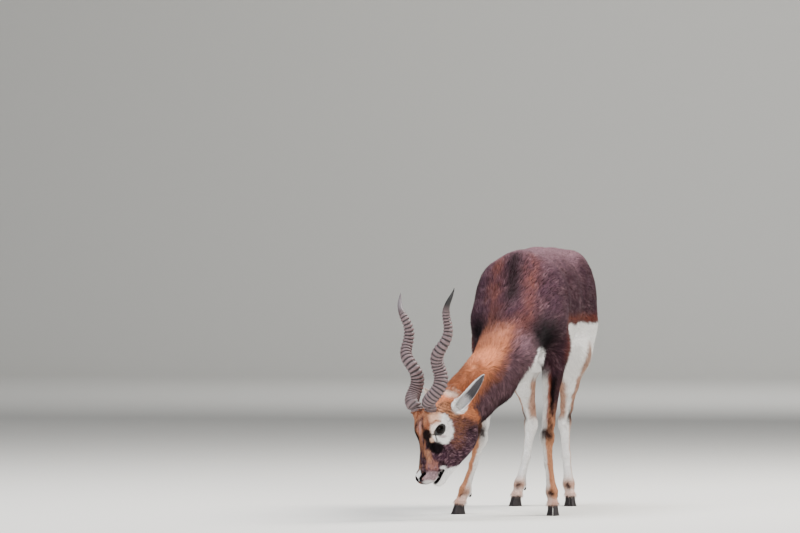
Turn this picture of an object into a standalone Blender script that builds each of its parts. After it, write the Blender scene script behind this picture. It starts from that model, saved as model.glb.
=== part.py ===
# A grazing male blackbuck at life size, +Z up, facing -Y, its left side on +X.
# The flesh is one smooth blend of tapered limbs and rounded masses, meshed piece by piece and parted
# by flat cuts, and the horns, ears, eyes and hooves stand against those cuts as pieces of their own.

import math

import bmesh
import bpy
import numpy as np
from mathutils import Matrix, Vector

# Driving dimensions, in metres
GAP = 0.0003
CROUP_HEIGHT = 0.722
WITHERS_HEIGHT = 0.694
BELLY_HEIGHT = 0.378
HIP_HALF_WIDTH = 0.128
CHEST_HALF_WIDTH = 0.128
CHEST_SHIFT = -0.018
RIGHT_SHOULDER_INSET = 0.010
RUMP_BACK = 0.372
FORE_CUT = 0.386
HIND_CUT = 0.362
HOOF_HEIGHT = 0.027
HOOF_LENGTH = 0.046
HOOF_WIDTH = 0.017
TAIL_CUT = 0.386

# The head's own frame: its forehead at eye level, how far it turns to the right, and its levels
HEAD_PLACE = (-0.2127, -0.600, 0.240)
HEAD_TURN = math.radians(43.0)
EYE_RADIUS = 0.0165
EYE_PLACE = (-0.0280, 0.0350, 0.0005)
EYE_OPENING = (0.0187, 0.0152)
EAR_LENGTH = 0.104
EAR_WIDTH = 0.034
EAR_WALL = 0.0022
EAR_SEAT = 0.0205
EAR_ROOT_RADIUS = 0.0150
HORN_RADIUS = 0.0177
HORN_SEAT = 0.0285
HORN_RINGS = 25
HORN_PITCH = 0.131
HORN_FOOT = 0.06

# Where the flat cuts run: a point and the direction that leaves the trunk
NECK_CUT = ((-0.020, -0.310, 0.475), (-0.11, -0.73, -0.675))
POLL_CUT = ((-0.148, 0.0, 0.046), (0.77, 0.0, -0.64))

# Limbs: joints from the cut down to the coronet, each a place and a radius
FORE_LEFT = {
    "elbow": ((0.083, -0.190, 0.452), 0.040),
    "forearm": ((0.077, -0.222, 0.372), 0.0250),
    "wrist": ((0.070, -0.240, 0.250), 0.0165),
    "knee": ((0.066, -0.246, 0.208), 0.0180),
    "cannon": ((0.070, -0.247, 0.140), 0.0106),
    "fetlock": ((0.080, -0.252, 0.064), 0.0145),
    "coronet": ((0.0865, -0.272, 0.030), 0.0150),
}
FORE_RIGHT = {
    "elbow": ((-0.098, -0.190, 0.446), 0.040),
    "forearm": ((-0.100, -0.222, 0.350), 0.0250),
    "wrist": ((-0.110, -0.240, 0.245), 0.0165),
    "knee": ((-0.116, -0.243, 0.205), 0.0180),
    "cannon": ((-0.136, -0.234, 0.136), 0.0106),
    "fetlock": ((-0.161, -0.222, 0.064), 0.0145),
    "coronet": ((-0.173, -0.238, 0.030), 0.0150),
}
HIND_LEFT = {
    "stifle": ((0.068, 0.165, 0.430), 0.048),
    "gaskin": ((0.052, 0.235, 0.340), 0.0265),
    "shank": ((0.037, 0.300, 0.276), 0.0160),
    "hock": ((0.025, 0.335, 0.232), 0.0165),
    "cannon": ((0.031, 0.325, 0.140), 0.0106),
    "fetlock": ((0.041, 0.306, 0.062), 0.0145),
    "coronet": ((0.048, 0.288, 0.030), 0.0150),
}
HIND_RIGHT = {
    "stifle": ((-0.074, 0.155, 0.420), 0.048),
    "gaskin": ((-0.072, 0.225, 0.335), 0.0270),
    "shank": ((-0.068, 0.288, 0.268), 0.0160),
    "hock": ((-0.068, 0.322, 0.226), 0.0165),
    "cannon": ((-0.078, 0.308, 0.138), 0.0106),
    "fetlock": ((-0.093, 0.286, 0.062), 0.0145),
    "coronet": ((-0.100, 0.266, 0.030), 0.0150),
}
TOE_TURN = {"fore_left": 8.0, "fore_right": -24.0, "hind_left": 12.0, "hind_right": -16.0}

# Mesh fineness: cell of the first mesh and triangles kept, and how often its grid may be nudged
NUDGES = 8
FINENESS = {
    "torso": (0.0090, 2800),
    "neck": (0.0080, 800),
    "head": (0.0031, 4000),
    "tail": (0.0050, 220),
    "leg": (0.0042, 850),
}


def clear_scene():
    """Empties the scene of every object."""
    for thing in list(bpy.data.objects):
        bpy.data.objects.remove(thing, do_unlink=True)


def material(name, colour, roughness):
    """A plain Principled material."""
    made = bpy.data.materials.new(name)
    made.use_nodes = True
    shader = made.node_tree.nodes["Principled BSDF"]
    shader.inputs["Base Color"].default_value = (*colour, 1.0)
    shader.inputs["Roughness"].default_value = roughness
    shader.inputs["Metallic"].default_value = 0.0
    return made


def unit(vector):
    """The vector at length one."""
    vector = np.asarray(vector, float)
    return vector / np.linalg.norm(vector)


# Forms: each gives the distance from points to a surface, negative inside


def blend(first, second, width):
    """Smooth union: the lower distance, rounded where the two are within a width of each other."""
    mix = np.clip(0.5 + 0.5 * (second - first) / width, 0.0, 1.0)
    return second + (first - second) * mix - width * mix * (1.0 - mix)


def carve(first, second, width):
    """The first form with the second taken out, its edge rounded over a width."""
    return -blend(-first, second, width)


def limb(points, start, end, start_radius, end_radius):
    """Tapered limb: distance to a line, less a radius that runs evenly from end to end."""
    start, end = np.asarray(start, float), np.asarray(end, float)
    along = end - start
    share = np.clip((points - start) @ along / (along @ along), 0.0, 1.0)
    away = np.linalg.norm(points - start - share[:, None] * along, axis=1)
    return away - (start_radius + (end_radius - start_radius) * share)


def mass(points, centre, radii, axes=None):
    """Egg: the scaled distance from a centre, corrected to metres near its surface."""
    offset = points - np.asarray(centre, float)
    if axes is not None:
        offset = offset @ np.asarray(axes, float).T
    radii = np.asarray(radii, float)
    inner = np.linalg.norm(offset / radii, axis=1)
    outer = np.linalg.norm(offset / radii**2, axis=1) + 1e-9
    return inner * (inner - 1.0) / outer


def head_axes():
    """Rows: forward out of the face, to the animal's left, and up."""
    sine, cosine = math.sin(HEAD_TURN), math.cos(HEAD_TURN)
    return np.array([[-sine, -cosine, 0.0], [cosine, -sine, 0.0], [0.0, 0.0, 1.0]])


def to_head(points):
    """Points in the head's own frame."""
    return (points - np.asarray(HEAD_PLACE)) @ head_axes().T


def from_head(points):
    """Points of the head's own frame in the model's frame."""
    return np.asarray(points, float) @ head_axes() + np.asarray(HEAD_PLACE)


def chain(points, joints, width):
    """A limb through each pair of neighbouring joints, blended."""
    names = list(joints)
    found = None
    for upper, lower in zip(names, names[1:]):
        piece = limb(points, joints[upper][0], joints[lower][0], joints[upper][1], joints[lower][1])
        found = piece if found is None else blend(found, piece, width)
    return found


def shifted(joint, along_x=0.0, along_y=0.0, along_z=0.0):
    """A joint's place moved by a little."""
    place = joint[0]
    return (place[0] + along_x, place[1] + along_y, place[2] + along_z)


def dewclaws(points, leg, found):
    """Two small knobs behind the fetlock."""
    fetlock = leg["fetlock"]
    for side in (-0.009, 0.009):
        knob = shifted(fetlock, side, 0.0145, -0.007)
        found = blend(found, mass(points, knob, (0.0065, 0.0075, 0.009)), 0.006)
    return found


def fore_leg(points, leg):
    """Foreleg: bone line, forearm muscle, knee pad, tendon and pastern."""
    found = chain(points, leg, 0.012)
    muscle = limb(points, shifted(leg["forearm"], 0, 0.016, 0.03), shifted(leg["wrist"], 0, 0.006, 0.02), 0.024, 0.010)
    found = blend(found, muscle, 0.014)
    found = blend(found, mass(points, shifted(leg["knee"], 0, -0.003), (0.0185, 0.0190, 0.026)), 0.008)
    tendon = limb(
        points,
        shifted(leg["knee"], 0, 0.014, -0.012),
        shifted(leg["fetlock"], 0, 0.012, 0.010),
        0.0080,
        0.0085,
    )
    found = blend(found, tendon, 0.008)
    found = blend(found, mass(points, shifted(leg["fetlock"], 0, 0.003), (0.0155, 0.0180, 0.017)), 0.008)
    return dewclaws(points, leg, found)


def hind_leg(points, leg):
    """Hind leg: gaskin muscle, heel tendon up to the thigh, hock point, cannon and pastern."""
    found = chain(points, leg, 0.014)
    muscle = limb(points, shifted(leg["stifle"], 0, 0.050, -0.005), shifted(leg["shank"], 0, 0.0, 0.02), 0.044, 0.013)
    found = blend(found, muscle, 0.018)
    heel = shifted(leg["hock"], 0, 0.022, 0.030)
    cord = limb(points, shifted(leg["gaskin"], 0, 0.055, 0.03), heel, 0.018, 0.0085)
    found = blend(found, cord, 0.030)
    found = blend(found, limb(points, heel, shifted(leg["hock"], 0, 0.008, -0.02), 0.0095, 0.011), 0.010)
    found = blend(found, mass(points, leg["hock"][0], (0.0165, 0.021, 0.030)), 0.008)
    tendon = limb(
        points,
        shifted(leg["hock"], 0, 0.014, -0.02),
        shifted(leg["fetlock"], 0, 0.012, 0.012),
        0.0085,
        0.0085,
    )
    found = blend(found, tendon, 0.008)
    found = blend(found, mass(points, shifted(leg["fetlock"], 0, 0.003), (0.0155, 0.0180, 0.017)), 0.008)
    return dewclaws(points, leg, found)


def trunk(points):
    """Ribs, loin, croup, haunches, shoulders and the ridge of the withers."""
    shift = CHEST_SHIFT
    found = mass(points, (0.0, 0.225, CROUP_HEIGHT - 0.135), (HIP_HALF_WIDTH - 0.012, 0.150, 0.135))
    loin = mass(points, (0.0, 0.08, CROUP_HEIGHT - 0.138), (HIP_HALF_WIDTH - 0.020, 0.190, 0.130))
    found = blend(found, loin, 0.05)
    ribs = mass(points, (shift * 0.6, -0.03, 0.541), (CHEST_HALF_WIDTH - 0.004, 0.200, 0.541 - BELLY_HEIGHT))
    found = blend(found, ribs, 0.05)
    chest = mass(points, (shift, -0.165, 0.552), (CHEST_HALF_WIDTH - 0.012, 0.135, 0.140))
    found = blend(found, chest, 0.05)
    ridge = limb(
        points,
        (shift * 0.8, -0.215, WITHERS_HEIGHT - 0.034),
        (0.0, 0.02, CROUP_HEIGHT - 0.058),
        0.034,
        0.038,
    )
    found = blend(found, ridge, 0.05)
    for side in (-1.0, 1.0):
        inset = RIGHT_SHOULDER_INSET if side < 0 else 0.0
        blade = mass(points, (shift + inset + side * 0.080, -0.185, 0.540), (0.043, 0.088, 0.125))
        found = blend(found, blade, 0.03)
        top = (shift + inset + side * 0.085, -0.225, 0.52)
        arm = limb(points, top, (shift + inset * 0.4 + side * 0.088, -0.190, 0.45), 0.048, 0.042)
        found = blend(found, arm, 0.03)
        haunch = mass(points, (side * 0.066, 0.235, 0.560), (0.060, RUMP_BACK - 0.240, 0.149))
        found = blend(found, haunch, 0.03)
        thigh = limb(points, (side * 0.058, 0.245, 0.50), (side * 0.066, 0.195, 0.42), 0.064, 0.046)
        found = blend(found, thigh, 0.04)
        ham = limb(points, (side * 0.056, 0.320, 0.56), (side * 0.060, 0.280, 0.40), 0.048, 0.034)
        found = blend(found, ham, 0.03)
    return found


def tail(points):
    """A short tail that hangs behind the rump."""
    root = limb(points, (0.0, 0.330, 0.650), (0.0, 0.394, 0.622), 0.024, 0.018)
    drop = limb(points, (0.0, 0.394, 0.622), (0.003, 0.412, 0.515), 0.018, 0.012)
    return blend(root, drop, 0.012)


def neck(points):
    """The heavy neck of a male in rut, from the withers down to the jaw."""
    path = {
        "base": ((-0.006, -0.175, 0.590), 0.104),
        "low": ((-0.014, -0.275, 0.510), 0.090),
        "mid": ((-0.026, -0.362, 0.432), 0.074),
        "high": ((-0.062, -0.432, 0.368), 0.066),
        "poll": ((-0.106, -0.482, 0.318), 0.062),
        "nape": ((-0.146, -0.512, 0.294), 0.050),
    }
    return chain(points, path, 0.03)


def head(points):
    """Skull, cheeks, muzzle and lips, in the head's own frame, alike on both sides."""
    local = to_head(points)
    folded = local * np.array([1.0, 0.0, 1.0]) + np.abs(local) * np.array([0.0, 1.0, 0.0])
    # Braincase and frontal bone
    found = mass(folded, (-0.060, 0.0, 0.014), (0.061, 0.043, 0.051))
    found = blend(found, limb(folded, (-0.086, 0.0, 0.052), (-0.122, 0.0, 0.050), 0.034, 0.046), 0.02)
    pedicle = limb(folded, (-0.020, 0.022, 0.020), (-0.012, 0.0300, 0.052), 0.020, 0.0185)
    found = blend(found, pedicle, 0.010)
    found = blend(found, mass(folded, (-0.020, 0.016, 0.006), (0.027, 0.021, 0.032)), 0.010)
    # Orbits, bold at the brow
    found = blend(found, mass(folded, (-0.032, 0.034, 0.004), (0.024, 0.0205, 0.0215)), 0.010)
    # Bridge of the nose and upper jaw
    found = blend(found, limb(folded, (-0.036, 0.0, -0.010), (-0.030, 0.0, -0.085), 0.038, 0.0265), 0.02)
    found = blend(found, limb(folded, (-0.070, 0.014, -0.020), (-0.044, 0.008, -0.095), 0.030, 0.020), 0.015)
    found = blend(found, limb(folded, (-0.026, 0.0, -0.080), (-0.012, 0.0, -0.122), 0.0235, 0.0215), 0.012)
    # Nose pad and upper lips
    found = blend(found, mass(folded, (-0.008, 0.009, -0.128), (0.018, 0.0135, 0.018)), 0.008)
    found = blend(found, mass(folded, (-0.026, 0.010, -0.126), (0.021, 0.014, 0.016)), 0.008)
    found = blend(found, mass(folded, (-0.016, 0.0, -0.128), (0.021, 0.014, 0.0175)), 0.008)
    # Cheeks and angle of the jaw
    found = blend(found, mass(folded, (-0.112, 0.020, -0.012), (0.056, 0.026, 0.062)), 0.018)
    found = blend(found, mass(folded, (-0.085, 0.022, -0.045), (0.048, 0.022, 0.050)), 0.018)
    found = blend(found, mass(folded, (-0.104, 0.0, -0.020), (0.056, 0.030, 0.062)), 0.018)
    # Lower jaw and chin
    lower = limb(folded, (-0.118, 0.012, -0.050), (-0.066, 0.004, -0.128), 0.028, 0.0150)
    lower = blend(lower, mass(folded, (-0.0555, 0.0, -0.1385), (0.0170, 0.0155, 0.0150)), 0.010)
    found = blend(found, lower, 0.010)
    found = mouth_and_nostrils(folded, found)
    return eyelids(folded, found)


def mouth_and_nostrils(folded, found):
    """The slightly open line of the mouth and the slits of the nostrils, carved."""
    fall = unit((0.55, 0.0, -0.83))
    across = np.array([fall[2], 0.0, -fall[0]])
    axes = np.array([fall, [0.0, 1.0, 0.0], across])
    slit = mass(folded, (-0.0402, 0.0, -0.1398), (0.0290, 0.060, 0.0031), axes)
    found = carve(found, slit, 0.003)
    slant = unit((0.55, -0.25, -0.80))
    side = unit(np.cross(slant, (0.0, 1.0, 0.3)))
    axes = np.array([slant, side, np.cross(slant, side)])
    nostril = mass(folded, (0.0020, 0.0165, -0.1260), (0.0100, 0.0038, 0.0075), axes)
    return carve(found, nostril, 0.003)


def eyelids(folded, found):
    """Lids drawn over the eyeball, with an opening that slants down to the inner corner."""
    lid = mass(folded, EYE_PLACE, (EYE_RADIUS + 0.0030,) * 3)
    found = blend(found, lid, 0.006)
    slant = unit((0.79, 0.0, -0.61))
    rise = np.array([-slant[2], 0.0, slant[0]])
    axes = np.array([slant, rise, [0.0, 1.0, 0.0]])
    centre = (EYE_PLACE[0] + 0.001, EYE_PLACE[1] + EYE_RADIUS + 0.004, EYE_PLACE[2] - 0.0005)
    opening = mass(folded, centre, (EYE_OPENING[0], EYE_OPENING[1], 0.013), axes)
    return carve(found, opening, 0.0025)


def ear_stalks(points, found):
    """The gristly root of each ear, up to the flat cut where the ear stands."""
    for side in (-1.0, 1.0):
        root, way = ear_line(side)[:2]
        found = blend(found, limb(points, root - way * 0.018, root + way * 0.010, 0.017, 0.0150), 0.010)
    return found


def flesh(points, legs=(), with_head=True):
    """The whole animal's soft body, or the part of it that a piece needs."""
    found = blend(trunk(points), neck(points), 0.05)
    found = blend(found, tail(points), 0.02)
    makers = {"fore": fore_leg, "hind": hind_leg}
    for kind, leg in legs:
        found = blend(found, makers[kind](points, leg), 0.03)
    if with_head:
        found = ear_stalks(points, blend(found, head(points), 0.02))
    return found


# Meshing


def without_pinches(values, cell):
    """Takes out the inside corners of each grid square whose corners lie in and out by turns."""
    values = values.copy()
    pinched = True
    while pinched:
        inside = values < 0
        weak = np.zeros(values.shape, bool)
        for axis in range(3):
            second, third = (axis + 1) % 3, (axis + 2) % 3
            corners = []
            for step in ((0, 0), (1, 0), (1, 1), (0, 1)):
                pick = [slice(None)] * 3
                for other, move in zip((second, third), step):
                    pick[other] = slice(move, values.shape[other] - 1 + move)
                corners.append(tuple(pick))
            states = [inside[corner] for corner in corners]
            doubt = (states[0] == states[2]) & (states[1] == states[3]) & (states[0] != states[1])
            for corner, state in zip(corners, states):
                weak[corner] |= doubt & state
        values[weak] = 0.05 * cell
        pinched = bool(weak.any())
    return values


def surface(field, low, high, cell):
    """Meshes a distance field: one point in each cell that the surface crosses, joined over each crossed edge."""
    axes = [np.arange(a, b + cell, cell) for a, b in zip(low, high)]
    grid = np.stack(np.meshgrid(*axes, indexing="ij"), -1)
    values = field(grid.reshape(-1, 3)).reshape(grid.shape[:3])
    for axis in range(3):
        edge = [slice(None)] * 3
        for side in (0, -1):
            edge[axis] = side
            values[tuple(edge)] = np.maximum(values[tuple(edge)], cell * 0.5)
    values = without_pinches(values, cell)
    counts = np.array(values.shape) - 1
    total = np.zeros((*counts, 3))
    hits = np.zeros(counts)
    for axis in range(3):
        others = [a for a in range(3) if a != axis]
        for shift in ((0, 0), (0, 1), (1, 0), (1, 1)):
            near = [slice(0, n) for n in counts]
            for other, step in zip(others, shift):
                near[other] = slice(step, counts[other] + step)
            far = list(near)
            far[axis] = slice(1, counts[axis] + 1)
            first, second = values[tuple(near)], values[tuple(far)]
            crossed = (first < 0) != (second < 0)
            share = np.where(crossed, first / np.where(crossed, first - second, 1.0), 0.0)
            place = grid[tuple(near)].copy()
            place[..., axis] += share * cell
            total += place * crossed[..., None]
            hits += crossed
    used = hits > 0
    number = np.full(counts, -1)
    number[used] = np.arange(used.sum())
    points = total[used] / hits[used][:, None]
    faces = []
    for axis in range(3):
        second, third = (axis + 1) % 3, (axis + 2) % 3
        core = [slice(1, counts[a]) for a in range(3)]
        core[axis] = slice(0, counts[axis])
        far = list(core)
        far[axis] = slice(1, counts[axis] + 1)
        first_inside = values[tuple(core)] < 0
        crossed = first_inside != (values[tuple(far)] < 0)
        corners = []
        for step in ((0, 0), (-1, 0), (-1, -1), (0, -1)):
            pick = list(core)
            for other, move in zip((second, third), step):
                pick[other] = slice(1 + move, counts[other] + move)
            corners.append(number[tuple(pick)])
        quads = np.stack(corners, -1)[crossed]
        turned = ~first_inside[crossed]
        quads[turned] = quads[turned][:, ::-1]
        faces.append(quads)
    return settle(field, points, cell), np.concatenate(faces)


def settle(field, points, cell, rounds=3):
    """Moves each point along the field's slope until it lies on the surface."""
    step = 1e-4
    for _ in range(rounds):
        slope = np.stack(
            [(field(points + step * a) - field(points - step * a)) / (2 * step) for a in np.eye(3)], -1
        )
        size = np.maximum((slope**2).sum(1), 0.25)
        move = np.clip(field(points) / size, -0.5 * cell, 0.5 * cell)
        points = points - slope * move[:, None]
    return points


def open_edges(faces):
    """How many edges don't join exactly two faces."""
    ends = np.array([pair for face in faces for pair in zip(face, (*face[1:], face[0]))])
    return int((np.unique(np.sort(ends, 1), axis=0, return_counts=True)[1] != 2).sum())


def flesh_piece(name, field, box, fineness, look, finish):
    """A piece of flesh, meshed, thinned and finished by its cuts, on a grid nudged until it closes."""
    cell, triangles = fineness
    low, high = (np.asarray(corner, float) for corner in box)
    for nudge in range(NUDGES):
        start = low - cell * nudge / NUDGES
        points, faces = surface(field, start, high, cell)
        thing = thinned(mesh_object(name, points, faces, look), triangles)
        finish(thing)
        largest_only(thing)
        if open_edges([tuple(face.vertices) for face in thing.data.polygons]) == 0:
            return smooth(thing)
        bpy.data.objects.remove(thing, do_unlink=True)
    raise ValueError(f"{name} doesn't close")


def mesh_object(name, points, faces, look):
    """An object from points and faces."""
    mesh = bpy.data.meshes.new(name)
    mesh.from_pydata([tuple(p) for p in points], [], [tuple(int(i) for i in f) for f in faces])
    mesh.materials.append(look)
    made = bpy.data.objects.new(name, mesh)
    bpy.context.scene.collection.objects.link(made)
    return made


def applied(thing):
    """Replaces an object's mesh by what its modifiers give."""
    graph = bpy.context.evaluated_depsgraph_get()
    mesh = bpy.data.meshes.new_from_object(thing.evaluated_get(graph))
    thing.modifiers.clear()
    thing.data = mesh
    return thing


def thinned(thing, triangles):
    """Collapses edges until about so many triangles are left."""
    count = sum(len(face.vertices) - 2 for face in thing.data.polygons)
    change = thing.modifiers.new("thin", "DECIMATE")
    change.ratio = min(1.0, triangles / count)
    return applied(thing)


def cut_flat(thing, place, away):
    """Removes what lies beyond a plane and closes the cut with a flat face."""
    work = bmesh.new()
    work.from_mesh(thing.data)
    everything = list(work.verts) + list(work.edges) + list(work.faces)
    bmesh.ops.bisect_plane(
        work, geom=everything, dist=1e-7, plane_co=Vector(place), plane_no=Vector(away), clear_outer=True
    )
    rim = [edge for edge in work.edges if edge.is_boundary]
    filled = bmesh.ops.holes_fill(work, edges=rim, sides=0)["faces"]
    bmesh.ops.triangulate(work, faces=filled)
    bmesh.ops.recalc_face_normals(work, faces=work.faces)
    work.to_mesh(thing.data)
    work.free()
    return thing


def largest_only(thing):
    """Keeps the largest closed surface of an object."""
    work = bmesh.new()
    work.from_mesh(thing.data)
    left = set(work.verts)
    groups = []
    while left:
        stack = [left.pop()]
        group = set(stack)
        while stack:
            for edge in stack.pop().link_edges:
                for end in edge.verts:
                    if end in left:
                        left.discard(end)
                        group.add(end)
                        stack.append(end)
        groups.append(group)
    groups.sort(key=len)
    loose = [vertex for group in groups[:-1] for vertex in group]
    bmesh.ops.delete(work, geom=loose, context="VERTS")
    work.to_mesh(thing.data)
    work.free()
    return thing


def smooth(thing):
    """Shades an object smooth but for its sharp edges."""
    thing.data.shade_smooth()
    thing.data.set_sharp_from_angle(angle=math.radians(40.0))
    return thing


def block(low, high):
    """Corner points and faces of an upright box."""
    points = [(x, y, z) for x in (low[0], high[0]) for y in (low[1], high[1]) for z in (low[2], high[2])]
    faces = [(0, 1, 3, 2), (4, 6, 7, 5), (0, 4, 5, 1), (2, 3, 7, 6), (0, 2, 6, 4), (1, 5, 7, 3)]
    return points, faces


def frame_towards(way):
    """Rotation matrix whose local Z runs along a direction."""
    return Vector(way).to_track_quat("Z", "Y").to_matrix().to_4x4()


def take_out(thing, cutters):
    """Subtracts cutters, each a list of points and faces, from an object."""
    for count, (points, faces) in enumerate(cutters):
        cutter = mesh_object(f"cutter_{count}", points, faces, thing.data.materials[0])
        cutter.hide_render = True
        cutter.display_type = "WIRE"
        change = thing.modifiers.new("cut", "BOOLEAN")
        change.operation = "DIFFERENCE"
        change.solver = "EXACT"
        change.object = cutter
        applied(thing)
        bpy.data.objects.remove(cutter, do_unlink=True)
    return thing


def drum(place, way, radius, length, sides=32, taper=1.0):
    """Points and faces of a round peg that starts at a place, runs along a direction and tapers."""
    turn = frame_towards(way)
    turn.translation = Vector(place)
    points = []
    for level, reach in ((0.0, radius), (length, radius * taper)):
        for step in range(sides):
            angle = 2 * math.pi * step / sides
            points.append(tuple(turn @ Vector((reach * math.cos(angle), reach * math.sin(angle), level))))
    faces = [tuple(range(sides))[::-1], tuple(range(sides, 2 * sides))]
    for step in range(sides):
        after = (step + 1) % sides
        faces.append((step, after, sides + after, sides + step))
    return points, faces


def globe(centre, radius, rings=16, sides=24):
    """Points and faces of a ball."""
    work = bmesh.new()
    place = Matrix.Translation(Vector(centre))
    bmesh.ops.create_uvsphere(work, u_segments=sides, v_segments=rings, radius=radius, matrix=place)
    points = [tuple(vertex.co) for vertex in work.verts]
    faces = [tuple(vertex.index for vertex in face.verts) for face in work.faces]
    work.free()
    return points, faces


# Pieces of flesh


def make_torso(look):
    """Trunk with shoulders and thighs, down to the cuts of the legs, the neck and the tail."""
    legs = (("fore", FORE_LEFT), ("fore", FORE_RIGHT), ("hind", HIND_LEFT), ("hind", HIND_RIGHT))

    def field(points):
        return flesh(points, legs, with_head=False)

    cutters = [
        block((0.030, -0.36, 0.20), (0.20, -0.135, FORE_CUT)),
        block((-0.22, -0.36, 0.20), (-0.045, -0.135, FORE_CUT)),
        block((0.020, 0.05, 0.20), (0.20, 0.46, HIND_CUT)),
        block((-0.22, 0.05, 0.20), (-0.020, 0.46, HIND_CUT)),
        block((-0.040, TAIL_CUT, 0.47), (0.040, 0.48, 0.70)),
    ]

    def finish(thing):
        take_out(thing, cutters)
        cut_flat(thing, *NECK_CUT)

    box = ((-0.19, -0.42, 0.325), (0.17, 0.44, 0.75))
    return flesh_piece("torso", field, box, FINENESS["torso"], look, finish)


def make_neck(look):
    """The neck between the chest and the back of the head."""
    place, way = np.array(NECK_CUT[0]), unit(NECK_CUT[1])
    poll, towards = poll_plane()

    def finish(thing):
        cut_flat(thing, place + way * GAP, -way)
        cut_flat(thing, poll - towards * GAP, towards)

    box = ((-0.26, -0.60, 0.17), (0.14, -0.20, 0.62))
    return flesh_piece("neck", flesh, box, FINENESS["neck"], look, finish)


def poll_plane():
    """The cut behind the jaw and the ears: its place and the direction into the head."""
    place = from_head([POLL_CUT[0]])[0]
    return place, unit(np.asarray(POLL_CUT[1]) @ head_axes())


def make_head(look):
    """The head, with sockets for the eyes and flat seats for the horns and ears."""
    place, way = poll_plane()
    cutters = []
    for side in (-1.0, 1.0):
        centre = from_head([(EYE_PLACE[0], side * EYE_PLACE[1], EYE_PLACE[2])])[0]
        cutters.append(globe(centre, EYE_RADIUS + GAP))
        base, rise = horn_line(side)[:2]
        cutters.append(drum(base, rise, HORN_SEAT, 0.06))
        root, out = ear_line(side)[:2]
        cutters.append(drum(root, out, EAR_SEAT, 0.05))

    def finish(thing):
        cut_flat(thing, place, -way)
        take_out(thing, cutters)

    box = ((-0.30, -0.68, 0.070), (-0.06, -0.43, 0.35))
    return flesh_piece("head", flesh, box, FINENESS["head"], look, finish)


def make_tail(look):
    """The tail behind its cut."""

    def field(points):
        return flesh(points, with_head=False)

    def finish(thing):
        cut_flat(thing, (0.0, TAIL_CUT + GAP, 0.6), (0.0, -1.0, 0.0))

    box = ((-0.038, 0.355, 0.48), (0.038, 0.46, 0.69))
    return flesh_piece("tail", field, box, FINENESS["tail"], look, finish)


def make_leg(name, kind, leg, look):
    """One leg from its cut down to the coronet."""
    top = FORE_CUT if kind == "fore" else HIND_CUT
    places = np.array([joint[0] for joint in leg.values()])
    low, high = places.min(0) - 0.085, places.max(0) + 0.085
    low[2] = HOOF_HEIGHT - 0.012
    high[2] = top + 0.02

    def field(points):
        return flesh(points, ((kind, leg),), with_head=False)

    def finish(thing):
        cut_flat(thing, (0.0, 0.0, top - GAP), (0.0, 0.0, 1.0))
        cut_flat(thing, (0.0, 0.0, HOOF_HEIGHT + GAP), (0.0, 0.0, -1.0))

    return flesh_piece(name, field, (low, high), FINENESS["leg"], look, finish)


# Pieces of horn, gristle and glass


def make_hoof(name, leg, turn, side, look):
    """One claw: a wedge with a flat sole, a flat top under the foot and a pointed toe."""
    centre = np.array(leg["coronet"][0])
    angle = math.radians(turn)
    forward = np.array([math.sin(angle), -math.cos(angle)])
    outward = np.array([math.cos(angle), math.sin(angle)]) * side
    rows = 7
    points = []
    for level, (height, top) in enumerate(((0.0, 0.0), (HOOF_HEIGHT, 1.0))):
        for step in range(2 * rows):
            along = step / (rows - 1) if step < rows else (2 * rows - 1 - step) / (rows - 1)
            outer = step < rows
            length = HOOF_LENGTH * (1.0 - 0.42 * top)
            ahead = (along - 0.36) * length - 0.004 * top
            bulge = HOOF_WIDTH * math.sin(math.pi * (0.16 + 0.76 * along)) ** 0.8
            width = 0.0009 + (bulge * (1.0 - 0.12 * top) if outer else 0.0)
            flat = centre[:2] + forward * (ahead + 0.004) + outward * width
            points.append((flat[0], flat[1], height))
    ring = 2 * rows
    faces = [tuple(range(ring)), tuple(range(ring, 2 * ring))[::-1]]
    for step in range(ring):
        after = (step + 1) % ring
        faces.append((after, step, ring + step, ring + after))
    thing = mesh_object(name, points, faces, look)
    work = bmesh.new()
    work.from_mesh(thing.data)
    bmesh.ops.triangulate(work, faces=work.faces)
    bmesh.ops.recalc_face_normals(work, faces=work.faces)
    work.to_mesh(thing.data)
    work.free()
    return smooth(thing)


def horn_line(side):
    """A horn's seat, its rise and the two directions across it, in the model's frame."""
    axes = head_axes()
    base = from_head([(-0.0115, side * 0.0294, 0.0470)])[0]
    length = 0.325 if side > 0 else 0.312
    tip = from_head([(-0.018, 0.112 if side > 0 else -0.118, 0.0470 + length)])[0]
    rise = unit(tip - base)
    outward = unit(axes[1] * side - rise * (axes[1] * side @ rise))
    forward = np.cross(outward, rise) * side
    return base, rise, forward, outward, np.linalg.norm(tip - base)


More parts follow.
